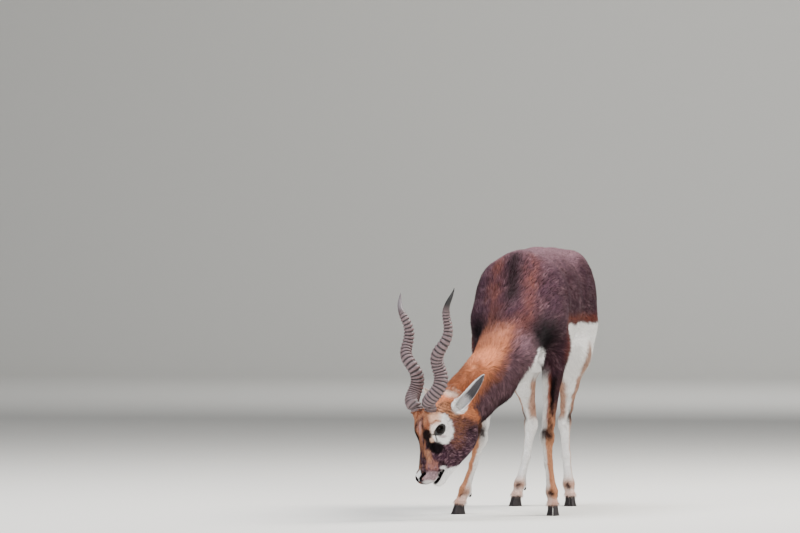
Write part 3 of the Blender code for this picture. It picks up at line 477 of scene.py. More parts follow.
def body_colour(points, normals):
    """Trunk and neck: brown sides, rufous nape, dark band between two rufous ridges, white belly."""
    body = to_body(points)
    x, y, z = body.T
    down = -normals[:, 2]
    grain = mottle(points, 0.020, 3) * 0.6 + mottle(points, 0.008, 4) * 0.4
    fleck = mottle(points * np.array([1.0, 0.4, 1.0]), 0.0045, 16)
    # Nape: how far along the neck, and degrees round it from its top line
    along = (body - NAPE_FROM) @ NAPE_WAY
    turn = np.degrees(np.arctan2(normals @ NAPE_LEFT, normals @ NAPE_UP))
    # Angles on the animal's right count for less, so the rufous reaches further round that side, as painted
    # light where it is lit
    turn = np.where(turn < 0, -turn * 0.62, turn) + 5.0 * grain
    side = np.abs(x - np.interp(y, *MIDLINE))
    top = step(normals @ NAPE_UP, 0.05, 0.55)
    ridges = bell(side, 0.045, 0.020) * step(-y, 0.19, 0.26) * top
    edge = np.interp(along, *NAPE_EDGE)
    nape = (1.0 - step(turn, edge - 16, edge + 22)) * step(along, 0.17, 0.34) * step(-y, 0.29, 0.39)
    between = bell(side, 0.0, 0.019) * step(-y, 0.20, 0.26) * (1 - step(-y, 0.335, 0.375)) * top
    side_of_neck = step(turn, edge, edge + 25) * step(along, 0.16, 0.26) * (1.0 - step(turn, 100.0, 130.0))
    throat = step(turn, 95.0, 130.0) * step(along, 0.20, 0.30)
    mirrored = np.stack([np.abs(x - MIDLINE_X), y, z], -1)
    # Painted shade in the armpits, where the forelegs meet the trunk
    pit = np.exp(-(((mirrored - ARMPIT[0]) / ARMPIT[1]) ** 2).sum(1))
    # White below the flank's line behind the elbow, between the forelegs and up the brisket
    flank = FLANK_LINE + 0.005 * grain + 0.003 * mottle(points, 0.03, 9)
    elbow = 0.10 * np.clip(z - 0.46, 0, 1)
    behind = step(y, -0.212 + elbow, -0.196 + elbow)
    between_legs = 1.0 - step(mirrored[:, 0] + 0.002 * grain, 0.072, 0.078)
    under = step(down, 0.30, 0.62) * step(0.455 - z, -0.01, 0.01) * step(y, -0.365, -0.340)
    under = under * np.maximum(between_legs, step(y, -0.20, -0.18))
    chest = CHEST_LINE - np.clip(-0.352 - y, 0.0, None) + 0.004 * grain
    brisket = step(chest - z, -0.003, 0.005) * step(y, -0.412, -0.400) * (1.0 - step(y, -0.245, -0.232))
    brisket = brisket * between_legs
    back_edge = bell(y, -0.215, 0.012) * step(0.54 - z, 0.0, 0.02) * step(z, 0.40, 0.43)
    outward = normals[:, 0] * np.sign(x)
    thigh = patch(mirrored, (0.148, 0.175, 0.400), (0.045, 0.030, 0.062)) * step(outward, 0.5, 0.8)
    rump = step(y, 0.315, 0.345) * step(0.048 - np.abs(x) - 0.10 * np.clip(z - 0.60, 0, 1), 0.0, 0.014)
    tail_top = step(y, 0.375, 0.385) * step(normals[:, 1], -0.1, 0.3) * step(z, 0.50, 0.53)
    return over(
        PLUM,
        (UMBER, np.clip(0.50 + 0.45 * grain, 0, 1)),
        # Painted shade: the trunk darker where it faces down
        (DARK, 0.55 * step(down, -0.35, 0.45)),
        (PALE_TIPS_AND_SHEEN, 0.34 * step(fleck + 0.5 * grain, 0.0, 0.9)),
        # Painted sheen: the back lighter where it faces up
        (PALE_TIPS_AND_SHEEN, 0.50 * step(-down, 0.40, 0.98) * step(y, -0.30, -0.12)),
        (RIDGE, np.clip(0.68 * ridges * (0.80 + 0.80 * grain), 0, 1)),
        (RUFOUS, np.clip(nape * (0.86 + 0.30 * grain), 0, 1)),
        (DARK, np.clip(0.95 * between, 0, 1)),
        (PALE_TIPS_AND_SHEEN * 0.75, np.clip(0.34 * side_of_neck * (1.0 + 0.8 * fleck), 0, 1)),
        (DARK, 0.70 * throat),
        # Painted shade: black in the armpits
        (BLACK, np.clip(1.25 * pit * (1.0 + 0.6 * fleck + 0.4 * grain), 0, 0.95)),
        (RUST, 0.62 * bell(z, flank + 0.013, 0.013) * behind),
        (RUST, 0.45 * back_edge * step(np.abs(normals[:, 0]), 0.5, 0.8)),
        (WHITE, np.clip(step(flank - z, -0.003, 0.004) * behind + under + brisket, 0, 1)),
        (TAN * 0.55, 0.85 * thigh),
        (WHITE, rump * step(0.635 - z, 0.0, 0.02)),
        (DARK, 0.9 * tail_top),
    )


def leg_colour(points, normals):
    """Legs: white inside and behind, tan and dark brown in front and outside, dark at knee and hock."""
    x, y, z = to_body(points).T
    fore = y < 0.0
    grain = mottle(points, 0.012, 6) * 0.6 + mottle(points, 0.005, 7) * 0.4
    fleck = mottle(points * np.array([1.0, 1.0, 0.4]), 0.0035, 8)
    outward = normals[:, 0] * np.where(x > -0.015, 1.0, -1.0)
    # Degrees round the leg from its front towards its outside
    turn = np.degrees(np.arctan2(outward, -normals[:, 1])) + 9.0 * grain
    behind = y - np.interp(z, *HIND_LEG_BACK)
    # Forelegs: tan in front and outside, darker upwards, with a black stripe down to the knee
    front = step(turn, -14.0, 4.0) * (1.0 - step(turn, 115.0, 140.0)) * fore
    stripe = bell(turn, 16.0, 24.0) * step(z + 0.020 * grain, 0.255, 0.320) * fore
    edge = bell(turn, -8.0, 9.0) * step(z, 0.24, 0.27) * (1.0 - step(z, 0.375, 0.400)) * fore
    knee = bell(z, KNEE, 0.021) * step(58.0 - np.abs(turn - 8.0), -18.0, 26.0) * fore
    shin = bell(turn, 8.0, 14.0) * (1.0 - step(z, 0.10, 0.20)) * step(z, 0.05, 0.07) * fore
    # Hind legs: white, tan along the outer rear edge and behind the thigh, dark point of the hock
    rear = step(turn, 52.0, 68.0) * step(z, 0.20, 0.25) * ~fore
    inner = step(-outward, -0.2, 0.5) * step(behind, -0.036, -0.024) * step(z, 0.235, 0.26) * ~fore
    rear = np.maximum(rear, inner)
    shank = step(turn, 62.0, 80.0) * (1.0 - step(turn, 118.0, 140.0)) * (1.0 - step(z, 0.20, 0.25)) * ~fore
    hock = bell(z, HOCK, 0.018) * step(outward, 0.15, 0.55) * step(behind, -0.030, -0.015) * ~fore
    # Fetlocks: tan in front with a dark spot, pale pink pasterns, a dark rim at the hoof
    ankle = bell(z, FETLOCK, 0.020) * step(95.0 - np.abs(turn - 10.0), 0.0, 40.0)
    pastern = (1.0 - step(z, 0.040, 0.052)) * step(110.0 - np.abs(turn), 0.0, 30.0)
    spot = np.exp(-(((z - FETLOCK + 0.003) / 0.0105) ** 2) - ((turn - 4.0) / 34.0) ** 2)
    heel = bell(z, FETLOCK, 0.010) * step(np.abs(turn), 140.0, 160.0)
    crown = (1.0 - step(z, 0.0285, 0.0330)) * step(fleck, -0.5, 0.2)
    return over(
        WHITE,
        (TAN * (0.92 + 0.12 * fleck[:, None]), front),
        (CREAM * 0.8, 0.35 * step(turn, -50.0, -14.0) * (1.0 - front) * fore),
        (UMBER, 0.85 * front * step(fleck + 0.5 * grain, -0.2, 0.4) * step(z, 0.215, 0.250)),
        (PLUM * 0.55, 0.92 * front * step(z + 0.020 * grain, 0.235, 0.310) * step(turn, 2.0, 18.0)),
        (BLACK, np.clip(1.3 * stripe, 0, 0.97)),
        (RUST * 1.7, 0.8 * edge),
        (DARK, np.clip(1.15 * knee * (0.85 + 0.5 * grain), 0, 0.95)),
        (RUST * 1.6, 0.55 * shin * step(fleck, -0.4, 0.4)),
        (TAN * 0.82, 0.85 * rear * (1.0 - step(z, 0.345, 0.375) * (outward < 0))),
        (UMBER, 0.6 * rear * step(fleck, 0.0, 0.6)),
        (TAN * 0.9, 0.60 * shank),
        (DARK, 0.9 * hock),
        (TAN * 0.95, 0.80 * ankle),
        (CREAM * np.array([0.95, 0.80, 0.78]), 0.75 * pastern),
        (DARK, np.clip(1.25 * spot * (0.8 + 0.8 * grain), 0, 0.95)),
        (DARK, 0.8 * heel),
        (DARK, 0.6 * crown),
    )


def head_colour(points, _):
    """Face: rufous brow, dark bridge and tear patch, white eye ring, lips and chin, flecked cheeks."""
    local = fold(to_head(points))
    ahead, side, up = local.T
    # Markings are laid out over the side of the face as it looks from a little in front
    aside = 0.615 * side - 0.788 * ahead
    flat = np.stack([aside, np.zeros(len(up)), up], -1)
    grain = mottle(points, 0.009, 12)
    fleck = mottle(points, 0.0034, 13)
    streak = mottle(points * np.array([1.0, 1.0, 0.25]), 0.0035, 14)
    cheek_flecks = 1.1 * mottle(points, 0.0030, 15) - 0.10 + 0.2 * grain

    def spot(across, level, wide, high, soft=0.25):
        """A soft oval on the side of the face, with a slightly broken edge."""
        away = np.hypot((aside - across) / wide, (up - level) / high) + 0.09 * grain + 0.07 * fleck
        return 1.0 - step(away, 1.0 - soft, 1.0 + soft)

    def line(start, end, width):
        """A soft line on the side of the face, darkest along its middle."""
        return dent(flat, (start[0], 0.0, start[1]), (end[0], 0.0, end[1]), width)

    behind_ring = spot(0.0930, -0.0060, 0.0200, 0.0400, 0.55) * np.clip(0.75 + 0.9 * fleck, 0, 1)
    above_cheek = spot(0.1150, 0.0250, 0.0360, 0.0220, 0.4) * np.clip(0.70 + 0.9 * fleck, 0, 1)
    cheeks = over(
        PLUM,
        (DARK, np.clip(0.35 + 0.90 * fleck + 0.30 * grain, 0, 0.92)),
        (PALE_TIPS_AND_SHEEN, np.clip(cheek_flecks, 0, 0.75)),
        (GINGER, 0.62 * behind_ring),
        (GINGER * 0.8, 0.60 * above_cheek),
    )
    top = (1.0 - step(aside + 0.25 * up, 0.040, 0.066)) * step(up, -0.034, -0.010)
    top = np.maximum(top, step(up, 0.026, 0.040))
    poll = step(up * 0.85 - ahead * 0.30, 0.050, 0.068)
    furrow = np.sin((0.36 * aside + 0.93 * up) / 0.0072 * 2 * math.pi + 1.2 * grain)
    creased = spot(0.0690, 0.0500, 0.0360, 0.0230, 0.25)
    ear_foot = spot(0.0965, 0.0560, 0.0165, 0.0150, 0.35) * step(side, 0.020, 0.030)
    forehead = over(
        cheeks,
        (GINGER * 0.72 + TAN * 0.28, 0.92 * top),
        (MAUVE * np.array([1.0, 0.86, 0.80]), 0.85 * spot(-0.0150, 0.0130, 0.0145, 0.0380, 0.5)),
        (RUST, np.clip(0.85 * top * step(streak, 0.0, 0.7), 0, 0.75)),
        (DARK, 0.85 * line((0.0000, 0.0440), (0.0030, 0.0080), 0.0042) * (0.7 + 0.5 * streak)),
        (DARK, 0.75 * line((0.0030, 0.0080), (0.0120, -0.0120), 0.0052)),
        (RUFOUS * (0.95 + 0.2 * fleck[:, None]), 0.92 * poll),
        (TAN * 0.85, 0.80 * creased),
        # Painted shade in the furrows of the creases before the ear
        (DARK, 0.92 * creased * step(furrow, 0.10, 0.80)),
        # Painted highlight: a cream patch high on the head behind the horns
        (CREAM, 0.90 * spot(0.0790, 0.0960, 0.0230, 0.0150, 0.5)),
        (WHITE * 0.85, 0.95 * ear_foot),
    )
    bridge = (1.0 - step(aside, 0.010, 0.022)) * (1 - step(up, -0.038, -0.016))
    beside = line((0.0170, -0.0610), (0.0230, -0.0860), 0.0105) * step(fleck + 0.4 * streak, -0.9, 0.2)
    rosy = spot(0.0290, -0.0980, 0.0170, 0.0150, 0.4) * step(fleck + streak, -0.7, 0.3)
    nose = over(
        forehead,
        (DARK, 0.75 * bridge * (0.85 + 0.3 * streak)),
        (GINGER, 0.70 * spot(0.0040, -0.0330, 0.0100, 0.0200, 0.5) * step(streak, -0.5, 0.4)),
        (GINGER, 0.60 * bridge * step(streak, 0.15, 0.7)),
        (TAN * 0.72, 0.85 * beside),
        (PINK, 0.85 * rosy),
        (TAN * 0.55, 0.60 * spot(-0.0030, -0.1010, 0.0080, 0.0090, 0.5) * step(streak, -0.3, 0.4)),
        (DARK, 0.60 * spot(0.0250, -0.1040, 0.0240, 0.0180, 0.3) * step(fleck, 0.1, 0.6)),
        (DARK, 0.80 * spot(0.0545, -0.0913, 0.0095, 0.0085, 0.4)),
    )
    # Eye ring, pale brow with its crease, the black gland about a pale spot, painted shade in a fold behind
    # the eye, and the lids' dark edge
    offset = (local @ HEAD_AXES + HEAD_PLACE - EYE_CENTRES["left"]) @ eye_frame("left").T
    almond = eye_almond(offset)
    edge = 1.16 + 0.30 * (offset[:, 1] > 0)
    lid = (1.0 - step(almond, edge, edge + 0.24)) * (offset[:, 2] > 0)
    ringed = over(
        nose,
        (WHITE, spot(0.0550, -0.0006, 0.0283, 0.0396, 0.09)),
        (CREAM * np.array([0.84, 0.64, 0.54]), 0.92 * spot(0.0360, 0.0280, 0.0155, 0.0170, 0.45)),
        (CREAM * 0.90, 0.70 * spot(0.0300, -0.0040, 0.0070, 0.0190, 0.4)),
        (GINGER, 0.85 * line((0.0275, 0.0140), (0.0385, 0.0225), 0.0040)),
        (GINGER, 0.85 * line((0.0385, 0.0225), (0.0500, 0.0205), 0.0036)),
        (BLACK, 0.97 * spot(0.0152, -0.0168, 0.0128, 0.0168)),
        (BLACK, 0.95 * spot(0.0236, -0.0405, 0.0115, 0.0140)),
        (BLACK, 0.97 * spot(0.0408, -0.0500, 0.0185, 0.0180)),
        (CREAM * np.array([0.80, 0.66, 0.56]), 0.92 * spot(0.0283, -0.0292, 0.0062, 0.0068)),
        (MAUVE * 0.8, 0.65 * spot(0.0559, -0.0190, 0.0110, 0.0042, 0.3)),
        (BLACK, 0.90 * line((0.0371, -0.0157), (0.0414, -0.0290), 0.0028)),
        # Painted shade along a fold behind the eye
        (DARK, 0.65 * line((0.0700, 0.0190), (0.0800, 0.0290), 0.0018)),
        (BLACK, 0.95 * lid * (np.linalg.norm(offset, axis=1) < 0.030)),
    )
    # Mauve upper lip, pale lining of the mouth, and white jaw, mouth's corner and tip of the nose
    lining = step(mouth_gap(local, 0.0045), -0.002, 0.002) * step(-up, 0.100, 0.108)
    jaw = step((aside - 0.0589) * 0.85 - (up + 0.1088) * 0.53, -0.001, 0.002)
    jaw = jaw * step(-0.1073 + 0.342 * (aside - 0.0618) - up + 0.0012 * grain, -0.001, 0.003)
    return over(
        ringed,
        (MAUVE * (0.88 + 0.40 * fleck[:, None]), 0.85 * spot(0.0283, -0.1260, 0.0270, 0.0150, 0.25)),
        (WHITE * 0.85, 0.75 * lining),
        (WHITE * 0.80, 0.7 * spot(0.0200, -0.1400, 0.0150, 0.0060, 0.4)),
        (WHITE, jaw * (1.0 - step(-ahead, 0.108, 0.128))),
        (WHITE, 0.95 * spot(0.0570, -0.1025, 0.0080, 0.0045, 0.4)),
        (WHITE * 0.95, 0.95 * spot(-0.0070, -0.1210, 0.0062, 0.0160, 0.3)),
    )


def coat_colour(points, normals):
    """The coat's colour at any place: head, trunk and legs, each over its own part."""
    colour = body_colour(points, normals)
    for share, maker in ((leg_share(points), leg_colour), (head_share(points), head_colour)):
        near = share > 0
        part = share[near][:, None]
        colour[near] = colour[near] * (1.0 - part) + maker(points[near], normals[near]) * part
    return np.clip(colour, 0.0, 1.0)


def paint(mesh, colours):
    """Stores a colour at each point of a mesh, for its material to read."""
    layer = mesh.color_attributes.new("coat", "FLOAT_COLOR", "POINT")
    full = np.ones((len(colours), 4), np.float32)
    full[:, :3] = colours
    layer.data.foreach_set("color", full.ravel())


def painted_material(name, roughness, specular, scale, contrast, bump):
    """A finish that reads the stored colour, broken by fine noise that also raises a bump."""
    made = bpy.data.materials.new(name)
    made.use_nodes = True
    tree = made.node_tree
    shader = tree.nodes["Principled BSDF"]
    colour = tree.nodes.new("ShaderNodeAttribute")
    colour.location = (-900, 250)
    colour.attribute_name = "coat"
    where = tree.nodes.new("ShaderNodeTexCoord")
    where.location = (-1400, -100)
    grain = tree.nodes.new("ShaderNodeTexNoise")
    grain.location = (-1150, -100)
    grain.inputs["Scale"].default_value = scale
    grain.inputs["Detail"].default_value = 3.0
    tree.links.new(where.outputs["Object"], grain.inputs["Vector"])
    spread = tree.nodes.new("ShaderNodeMapRange")
    spread.location = (-900, -50)
    spread.inputs["From Min"].default_value = 0.25
    spread.inputs["From Max"].default_value = 0.75
    spread.inputs["To Min"].default_value = 1.0 - contrast
    spread.inputs["To Max"].default_value = 1.0 + contrast
    tree.links.new(grain.outputs["Fac"], spread.inputs["Value"])
    mix = tree.nodes.new("ShaderNodeMix")
    mix.location = (-600, 200)
    mix.data_type = "RGBA"
    mix.blend_type = "MULTIPLY"
    mix.inputs["Factor"].default_value = 1.0
    tree.links.new(colour.outputs["Color"], mix.inputs["A"])
    tree.links.new(spread.outputs["Result"], mix.inputs["B"])
    tree.links.new(mix.outputs["Result"], shader.inputs["Base Color"])
    rough = tree.nodes.new("ShaderNodeBump")
    rough.location = (-300, -200)
    rough.inputs["Strength"].default_value = 0.5
    rough.inputs["Distance"].default_value = bump
    tree.links.new(grain.outputs["Fac"], rough.inputs["Height"])
    tree.links.new(rough.outputs["Normal"], shader.inputs["Normal"])
    shader.inputs["Roughness"].default_value = roughness
    shader.inputs["Specular IOR Level"].default_value = specular
    return made


# The hide is painted darker than the coat, as painted shade under the hair
SKIN_SHADE = 0.80
hide_finish = painted_material("hide", 0.85, 0.08, 500.0, 0.35, 0.0012)
hide.data.materials.clear()
hide.data.materials.append(hide_finish)
hide.data.shade_smooth()
places, _ = mesh_arrays(hide.data)
hide_normals = normals_of(hide.data)
# The openings of mouth and nostrils are painted black as painted shade
paint(hide.data, over(coat_colour(places, hide_normals) * SKIN_SHADE, (BLACK, open_skin)))

# Coat. Short hair in flat tufts, rooted in the hide and lying along it: up the face, back along the
# neck and trunk, down the legs. Longest on the neck, tail and belly, shortest on the face and feet.
# A spike is three corners and a tip, and a blade has a middle ring as well.
rng = np.random.default_rng(11)
SPIKE = np.array([[0, 1, 3], [1, 2, 3], [2, 0, 3], [0, 2, 1]])
SPIKE_PATCH = np.array([[0.0, 0.0], [1.0, 0.0], [0.5, 0.3], [0.5, 1.0]])
# Each corner's tone: roots darker as painted shade deep in the coat, tips lighter as pale hair tips with a
# painted sheen
SPIKE_SHADE = np.array([0.55, 0.55, 0.75, 1.45])
BLADE_SIDES = [[0, 1, 4], [0, 4, 3], [1, 2, 5], [1, 5, 4], [2, 0, 3], [2, 3, 5]]
BLADE = np.array([*BLADE_SIDES, [3, 4, 6], [4, 5, 6], [5, 3, 6], [0, 2, 1]])
BLADE_PATCH = np.array([[0.0, 0.0], [1.0, 0.0], [0.5, 0.2], [0.1, 0.6], [0.9, 0.6], [0.5, 0.7], [0.5, 1.0]])
BLADE_SHADE = np.array([0.55, 0.55, 0.70, 0.95, 0.95, 1.05, 1.40])
BLADE_BEND = 0.72
MIDDLE_WIDTH = 0.8
TUFT_THICKNESS = 0.40
ROOT_SINK = 0.0007
PATCH_SIZE = 0.003
TRUNK_HAIR = 0.0135
TAIL_HAIR = 0.026
LEG_HAIR = 0.0045
FACE_HAIR = 0.0034


def lie_of_coat(points, normals):
    """The way the hair lies: a flow for each part of the body, blended and laid onto the hide."""
    x, y, z = to_body(points).T
    flank = 1.0 - np.abs(normals[:, 2])
    flow = np.stack([np.zeros(len(y)), np.full(len(y), 0.92), -0.55 * flank], -1)
    neck = (step(-y, 0.17, 0.30) * step(z, 0.30, 0.40))[:, None]
    flow = flow * (1 - neck) + np.array([0.30, 0.72, 0.45]) * neck
    tail = (step(y, 0.36, 0.39) * (np.abs(x) < 0.05))[:, None]
    flow = flow * (1 - tail) + np.array([0.0, 0.12, -1.0]) * tail
    leg = (1.0 - step(z, 0.34, 0.47))[:, None] * (np.abs(y + 0.02) > 0.12)[:, None]
    flow = flow * (1 - leg) + np.array([0.0, 0.16, -1.0]) * leg
    local = fold(to_head(points))
    ahead, _, up = local.T
    backward = -0.25 - 0.6 * step(-ahead, 0.03, 0.07)
    upward = 0.95 - 1.1 * step(-ahead, 0.03, 0.08)
    face = np.stack([backward, 0.15 * np.ones(len(y)), upward], -1)
    ring = np.stack([ahead + 0.030, np.zeros(len(y)), up], -1) / 0.03
    near_eye = (patch(local, (-0.030, 0.045, 0.0), (0.040, 0.04, 0.042), 0.4) * 0.8)[:, None]
    face = face * (1 - near_eye) + ring * near_eye
    chin = ((up < -0.10) & (ahead < -0.035))[:, None]
    face = np.where(chin, np.array([-0.5, 0.1, 0.9]), face)
    face[:, 1] *= np.sign(to_head(points)[:, 1])
    share = head_share(points)[:, None]
    flow = flow * (1 - share) + face @ HEAD_AXES * share
    wave = np.stack([mottle(points, 0.022, seed) for seed in (21, 22, 23)], -1)
    fine = np.stack([mottle(points, 0.007, seed) for seed in (31, 32, 33)], -1)
    flow = flow / np.linalg.norm(flow, axis=1)[:, None] + 0.30 * wave + 0.22 * fine
    flow -= normals * (flow * normals).sum(1)[:, None]
    return flow / np.maximum(np.linalg.norm(flow, axis=1), 1e-6)[:, None]


def coat_length(points):
    """How long the hair is at a place: a length for each part of the body, blended at their joins."""
    _, y, z = to_body(points).T
    belly = step(0.42 - z, 0.0, 0.04) * (np.abs(y) < 0.16)
    length = TRUNK_HAIR + 0.0050 * step(-y, 0.20, 0.32) + 0.004 * belly
    tail = step(y, 0.37, 0.40) * (z < 0.66)
    length = length * (1 - tail) + (TAIL_HAIR + 0.02 * step(0.58 - z, 0, 0.06)) * tail
    leg = leg_share(points)
    feet = LEG_HAIR + 0.010 * np.clip(z, 0, 0.4) + 0.0065 * (1.0 - step(z, 0.034, 0.048))
    length = length * (1 - leg) + feet * leg
    share = head_share(points)
    local = fold(to_head(points))
    face = FACE_HAIR + 0.0045 * step(-local[:, 0], 0.03, 0.12) + 0.003 * step(local[:, 2], 0.03, 0.08)
    face = face - 0.0010 * step(-local[:, 2], 0.08, 0.12)
    return length * (1 - share) + face * share


def array_mesh(name, points, faces):
    """Puts an array of points and an array of equal-sided faces into a new smooth object."""
    mesh = bpy.data.meshes.new(name)
    sides = faces.shape[1]
    mesh.vertices.add(len(points))
    mesh.vertices.foreach_set("co", np.ascontiguousarray(points, np.float32).ravel())
    mesh.loops.add(faces.size)
    mesh.loops.foreach_set("vertex_index", np.ascontiguousarray(faces, np.int32).ravel())
    mesh.polygons.add(len(faces))
    mesh.polygons.foreach_set("loop_start", np.arange(0, faces.size, sides, dtype=np.int32))
    mesh.polygons.foreach_set("loop_total", np.full(len(faces), sides, np.int32))
    mesh.update(calc_edges=True)
    mesh.shade_smooth()
    piece = bpy.data.objects.new(name, mesh)
    bpy.context.scene.collection.objects.link(piece)
    return piece


def unwrapped(roots, start, end):
    """Places on the unwrap of a limb of the body: the way round a line from start to end, and along it."""
    length = np.linalg.norm(np.subtract(end, start))
    axis = unit(np.subtract(end, start))
    across = unit(np.cross(axis, (0.31, 0.95, 0.05)))
    offset = to_body(roots) - np.asarray(start)
    around = np.arctan2(offset @ np.cross(axis, across), offset @ across) / (2 * math.pi) + 0.5
    return 0.01 + 0.97 * np.clip(np.stack([around, offset @ axis / length], -1), 0, 1)


def tuft_mesh(name, roots, normals, lies, lengths, widths, lifts, colours, shape, limb_line):
    """Tufts as closed three-sided blades: a root ring sunk in the hide, a middle ring if any, one tip."""
    half = (widths / 2)[:, None] * np.cross(normals, lies)
    rise = (widths * TUFT_THICKNESS)[:, None] * normals
    low = roots - normals * ROOT_SINK
    tip = roots + lies * lengths[:, None] + normals * lifts[:, None]
    rings = [low - half, low + half, low + rise]
    local, shade = SPIKE_PATCH, SPIKE_SHADE
    if shape is BLADE:
        local, shade = BLADE_PATCH, BLADE_SHADE
        middle = roots + lies * (lengths * 0.5)[:, None] + normals * (lifts * BLADE_BEND)[:, None]
        rings += [middle - MIDDLE_WIDTH * half, middle + MIDDLE_WIDTH * half, middle + MIDDLE_WIDTH * rise]
    corners = np.stack([*rings, tip], 1)
    faces = (np.arange(len(roots))[:, None, None] * corners.shape[1] + shape[None]).reshape(-1, 3)
    piece = array_mesh(name, corners.reshape(-1, 3), faces)
    # Painted shade at the roots and pale tips with painted sheen, stronger on dark hair
    darkness = np.clip(1.1 - 2.2 * colours.mean(1), 0.12, 1.0)[:, None, None]
    shaded = colours[:, None, :] * (1.0 + (shade[None, :, None] - 1.0) * darkness)
    paint(piece.data, np.clip(shaded, 0, 1).reshape(-1, 3))
    corner_places = unwrapped(roots, *limb_line)[:, None, :] + PATCH_SIZE * local[None]
    layer = piece.data.uv_layers.new(name="OFBake")
    layer.data.foreach_set("uv", corner_places.reshape(-1, 2)[faces.ravel()].astype(np.float32).ravel())
    piece.data.materials.append(coat_finish)
    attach(piece, "root")
    return piece


coat_finish = painted_material("coat_hair", 0.72, 0.09, 700.0, 0.15, 0.0004)
hide.data.calc_loop_triangles()
corners = np.empty(len(hide.data.loop_triangles) * 3, np.int32)
hide.data.loop_triangles.foreach_get("vertices", corners)
corners = corners.reshape(-1, 3)
first, second, third = (places[corners[:, i]] for i in range(3))
areas = np.linalg.norm(np.cross(second - first, third - first), axis=1)
centres = places[corners].mean(1)
x, y, z = to_body(centres).T
on_face = head_share(centres) > 0.5
on_leg = (leg_share(centres) > 0.5) & ~on_face
on_tail = (y > 0.378) & (np.abs(x) < 0.045) & (z > 0.45)
on_neck = ((to_body(centres) - NAPE_FROM) @ NAPE_WAY > 0.13) & (y < -0.27) & ~on_face & ~on_leg
on_trunk = ~(on_face | on_leg | on_tail | on_neck)
bare = open_skin[corners].mean(1) > 0.15
for name in SIDES:
    offset = (centres - EYE_CENTRES[name]) @ eye_frame(name).T
    bare |= (eye_almond(offset) < 1.35) & (np.linalg.norm(offset, axis=1) < 0.028) & (offset[:, 2] > 0)
front = y < -0.06
rear = y > 0.13
fore = y < 0.0
TRUNK_LINE = ((0.0, -0.40, 0.55), (0.0, 0.45, 0.56))
NECK_LINE = ((-0.006, -0.175, 0.590), (-0.160, -0.56, 0.27))
FACE_LINE = ((-0.235, -0.585, 0.08), (-0.120, -0.53, 0.36))
FORE_LINE = ((-0.02, -0.235, 0.02), (-0.02, -0.235, 0.42))
HIND_LINE = ((-0.015, 0.26, 0.02), (-0.015, 0.26, 0.42))
TAIL_LINE = ((0.0, 0.40, 0.47), (0.0, 0.40, 0.68))
COAT_PIECES = (
    ("coat_neck", on_neck, 48000, SPIKE, 0.0019, NECK_LINE, "coat_rufous"),
    ("coat_shoulders", on_trunk & front, 48000, SPIKE, 0.0020, TRUNK_LINE, "coat_brown"),
    ("coat_flanks", on_trunk & ~front & ~rear, 48000, SPIKE, 0.0021, TRUNK_LINE, "coat_brown"),
    ("coat_rump", on_trunk & rear, 48000, SPIKE, 0.0021, TRUNK_LINE, "coat_brown"),
    ("coat_face", on_face & ~bare, 48000, SPIKE, 0.0012, FACE_LINE, "coat_brown"),
    ("coat_forelegs", on_leg & fore, 36000, SPIKE, 0.0013, FORE_LINE, "coat_white"),
    ("coat_hindlegs", on_leg & ~fore, 44000, SPIKE, 0.0014, HIND_LINE, "coat_white"),
    ("coat_tail", on_tail, 3200, BLADE, 0.0024, TAIL_LINE, "coat_brown"),
)
for name, region, count, shape, width, limb_line, slot in COAT_PIECES:
    # Colours are taken a little off each root, which mixes the hair where two markings meet
    scatter, unevenness = (0.0007, 0.55) if name == "coat_face" else (0.0016, 0.34)
    chosen = np.nonzero(region)[0]
    picks = rng.choice(chosen, count, p=areas[chosen] / areas[chosen].sum())
    mix = rng.dirichlet((1.0, 1.0, 1.0), count)
    roots = (places[corners[picks]] * mix[:, :, None]).sum(1)
    normals = (hide_normals[corners[picks]] * mix[:, :, None]).sum(1)
    normals /= np.linalg.norm(normals, axis=1)[:, None]
    lies = lie_of_coat(roots, normals)
    lengths = coat_length(roots) * rng.uniform(0.75, 1.25, count)
    lifts = lengths * rng.uniform(0.10, 0.24, count)
    lifts *= 1.0 + 1.8 * leg_share(roots) * (1.0 - step(to_body(roots)[:, 2], 0.036, 0.046))
    widths = width * rng.uniform(0.75, 1.25, count)
    colours = coat_colour(roots + rng.normal(0, scatter, (count, 3)), normals)
    darkness = np.clip(1.1 - 2.0 * colours.mean(1), 0.15, 1.0)
    tone = (1.0 + unevenness * darkness * rng.normal(0, 1, count)).clip(0.25, 2.4)[:, None]
    piece = tuft_mesh(name, roots, normals, lies, lengths, widths, lifts, colours * tone, shape, limb_line)

# Horns. Two sheaths of grey keratin, each a spiral of about 25 raised rings that fades to a smooth
# tip. A round section is carried along the spiral, its radius swelling at each ring.
HORN_RADIUS = 0.0177
HORN_FOOT = 0.06
HORN_PITCH = 0.131
HORN_SWING = 0.0132
HORN_ROWS = 340
HORN_SEGMENTS = 36
HORN_BASE = (-0.0115, 0.0294, 0.0470)
HORN_TIP = {1.0: (-0.018, 0.112, 0.372), -1.0: (-0.018, -0.118, 0.359)}
HORN_START = {1.0: -83.0, -1.0: -31.0}
HORN_END_TONE = {1.0: rgb(14, 11, 13), -1.0: rgb(96, 88, 92)}
HORN_LEVELS = (0.0, 0.10, 0.30, 0.50, 0.65, 0.80, 0.92, 1.0)
HORN_TAPER = (0.88, 1.01, 0.97, 0.83, 0.69, 0.53, 0.30, 0.04)
RING_LOW = 0.0056
RING_SWELL = 0.0046
RING_LEAD = 0.17
RINGED = 0.84


def unit_rows(vectors):
    """Each row of an array of vectors at length one."""
    return vectors / np.linalg.norm(vectors, axis=-1)[..., None]


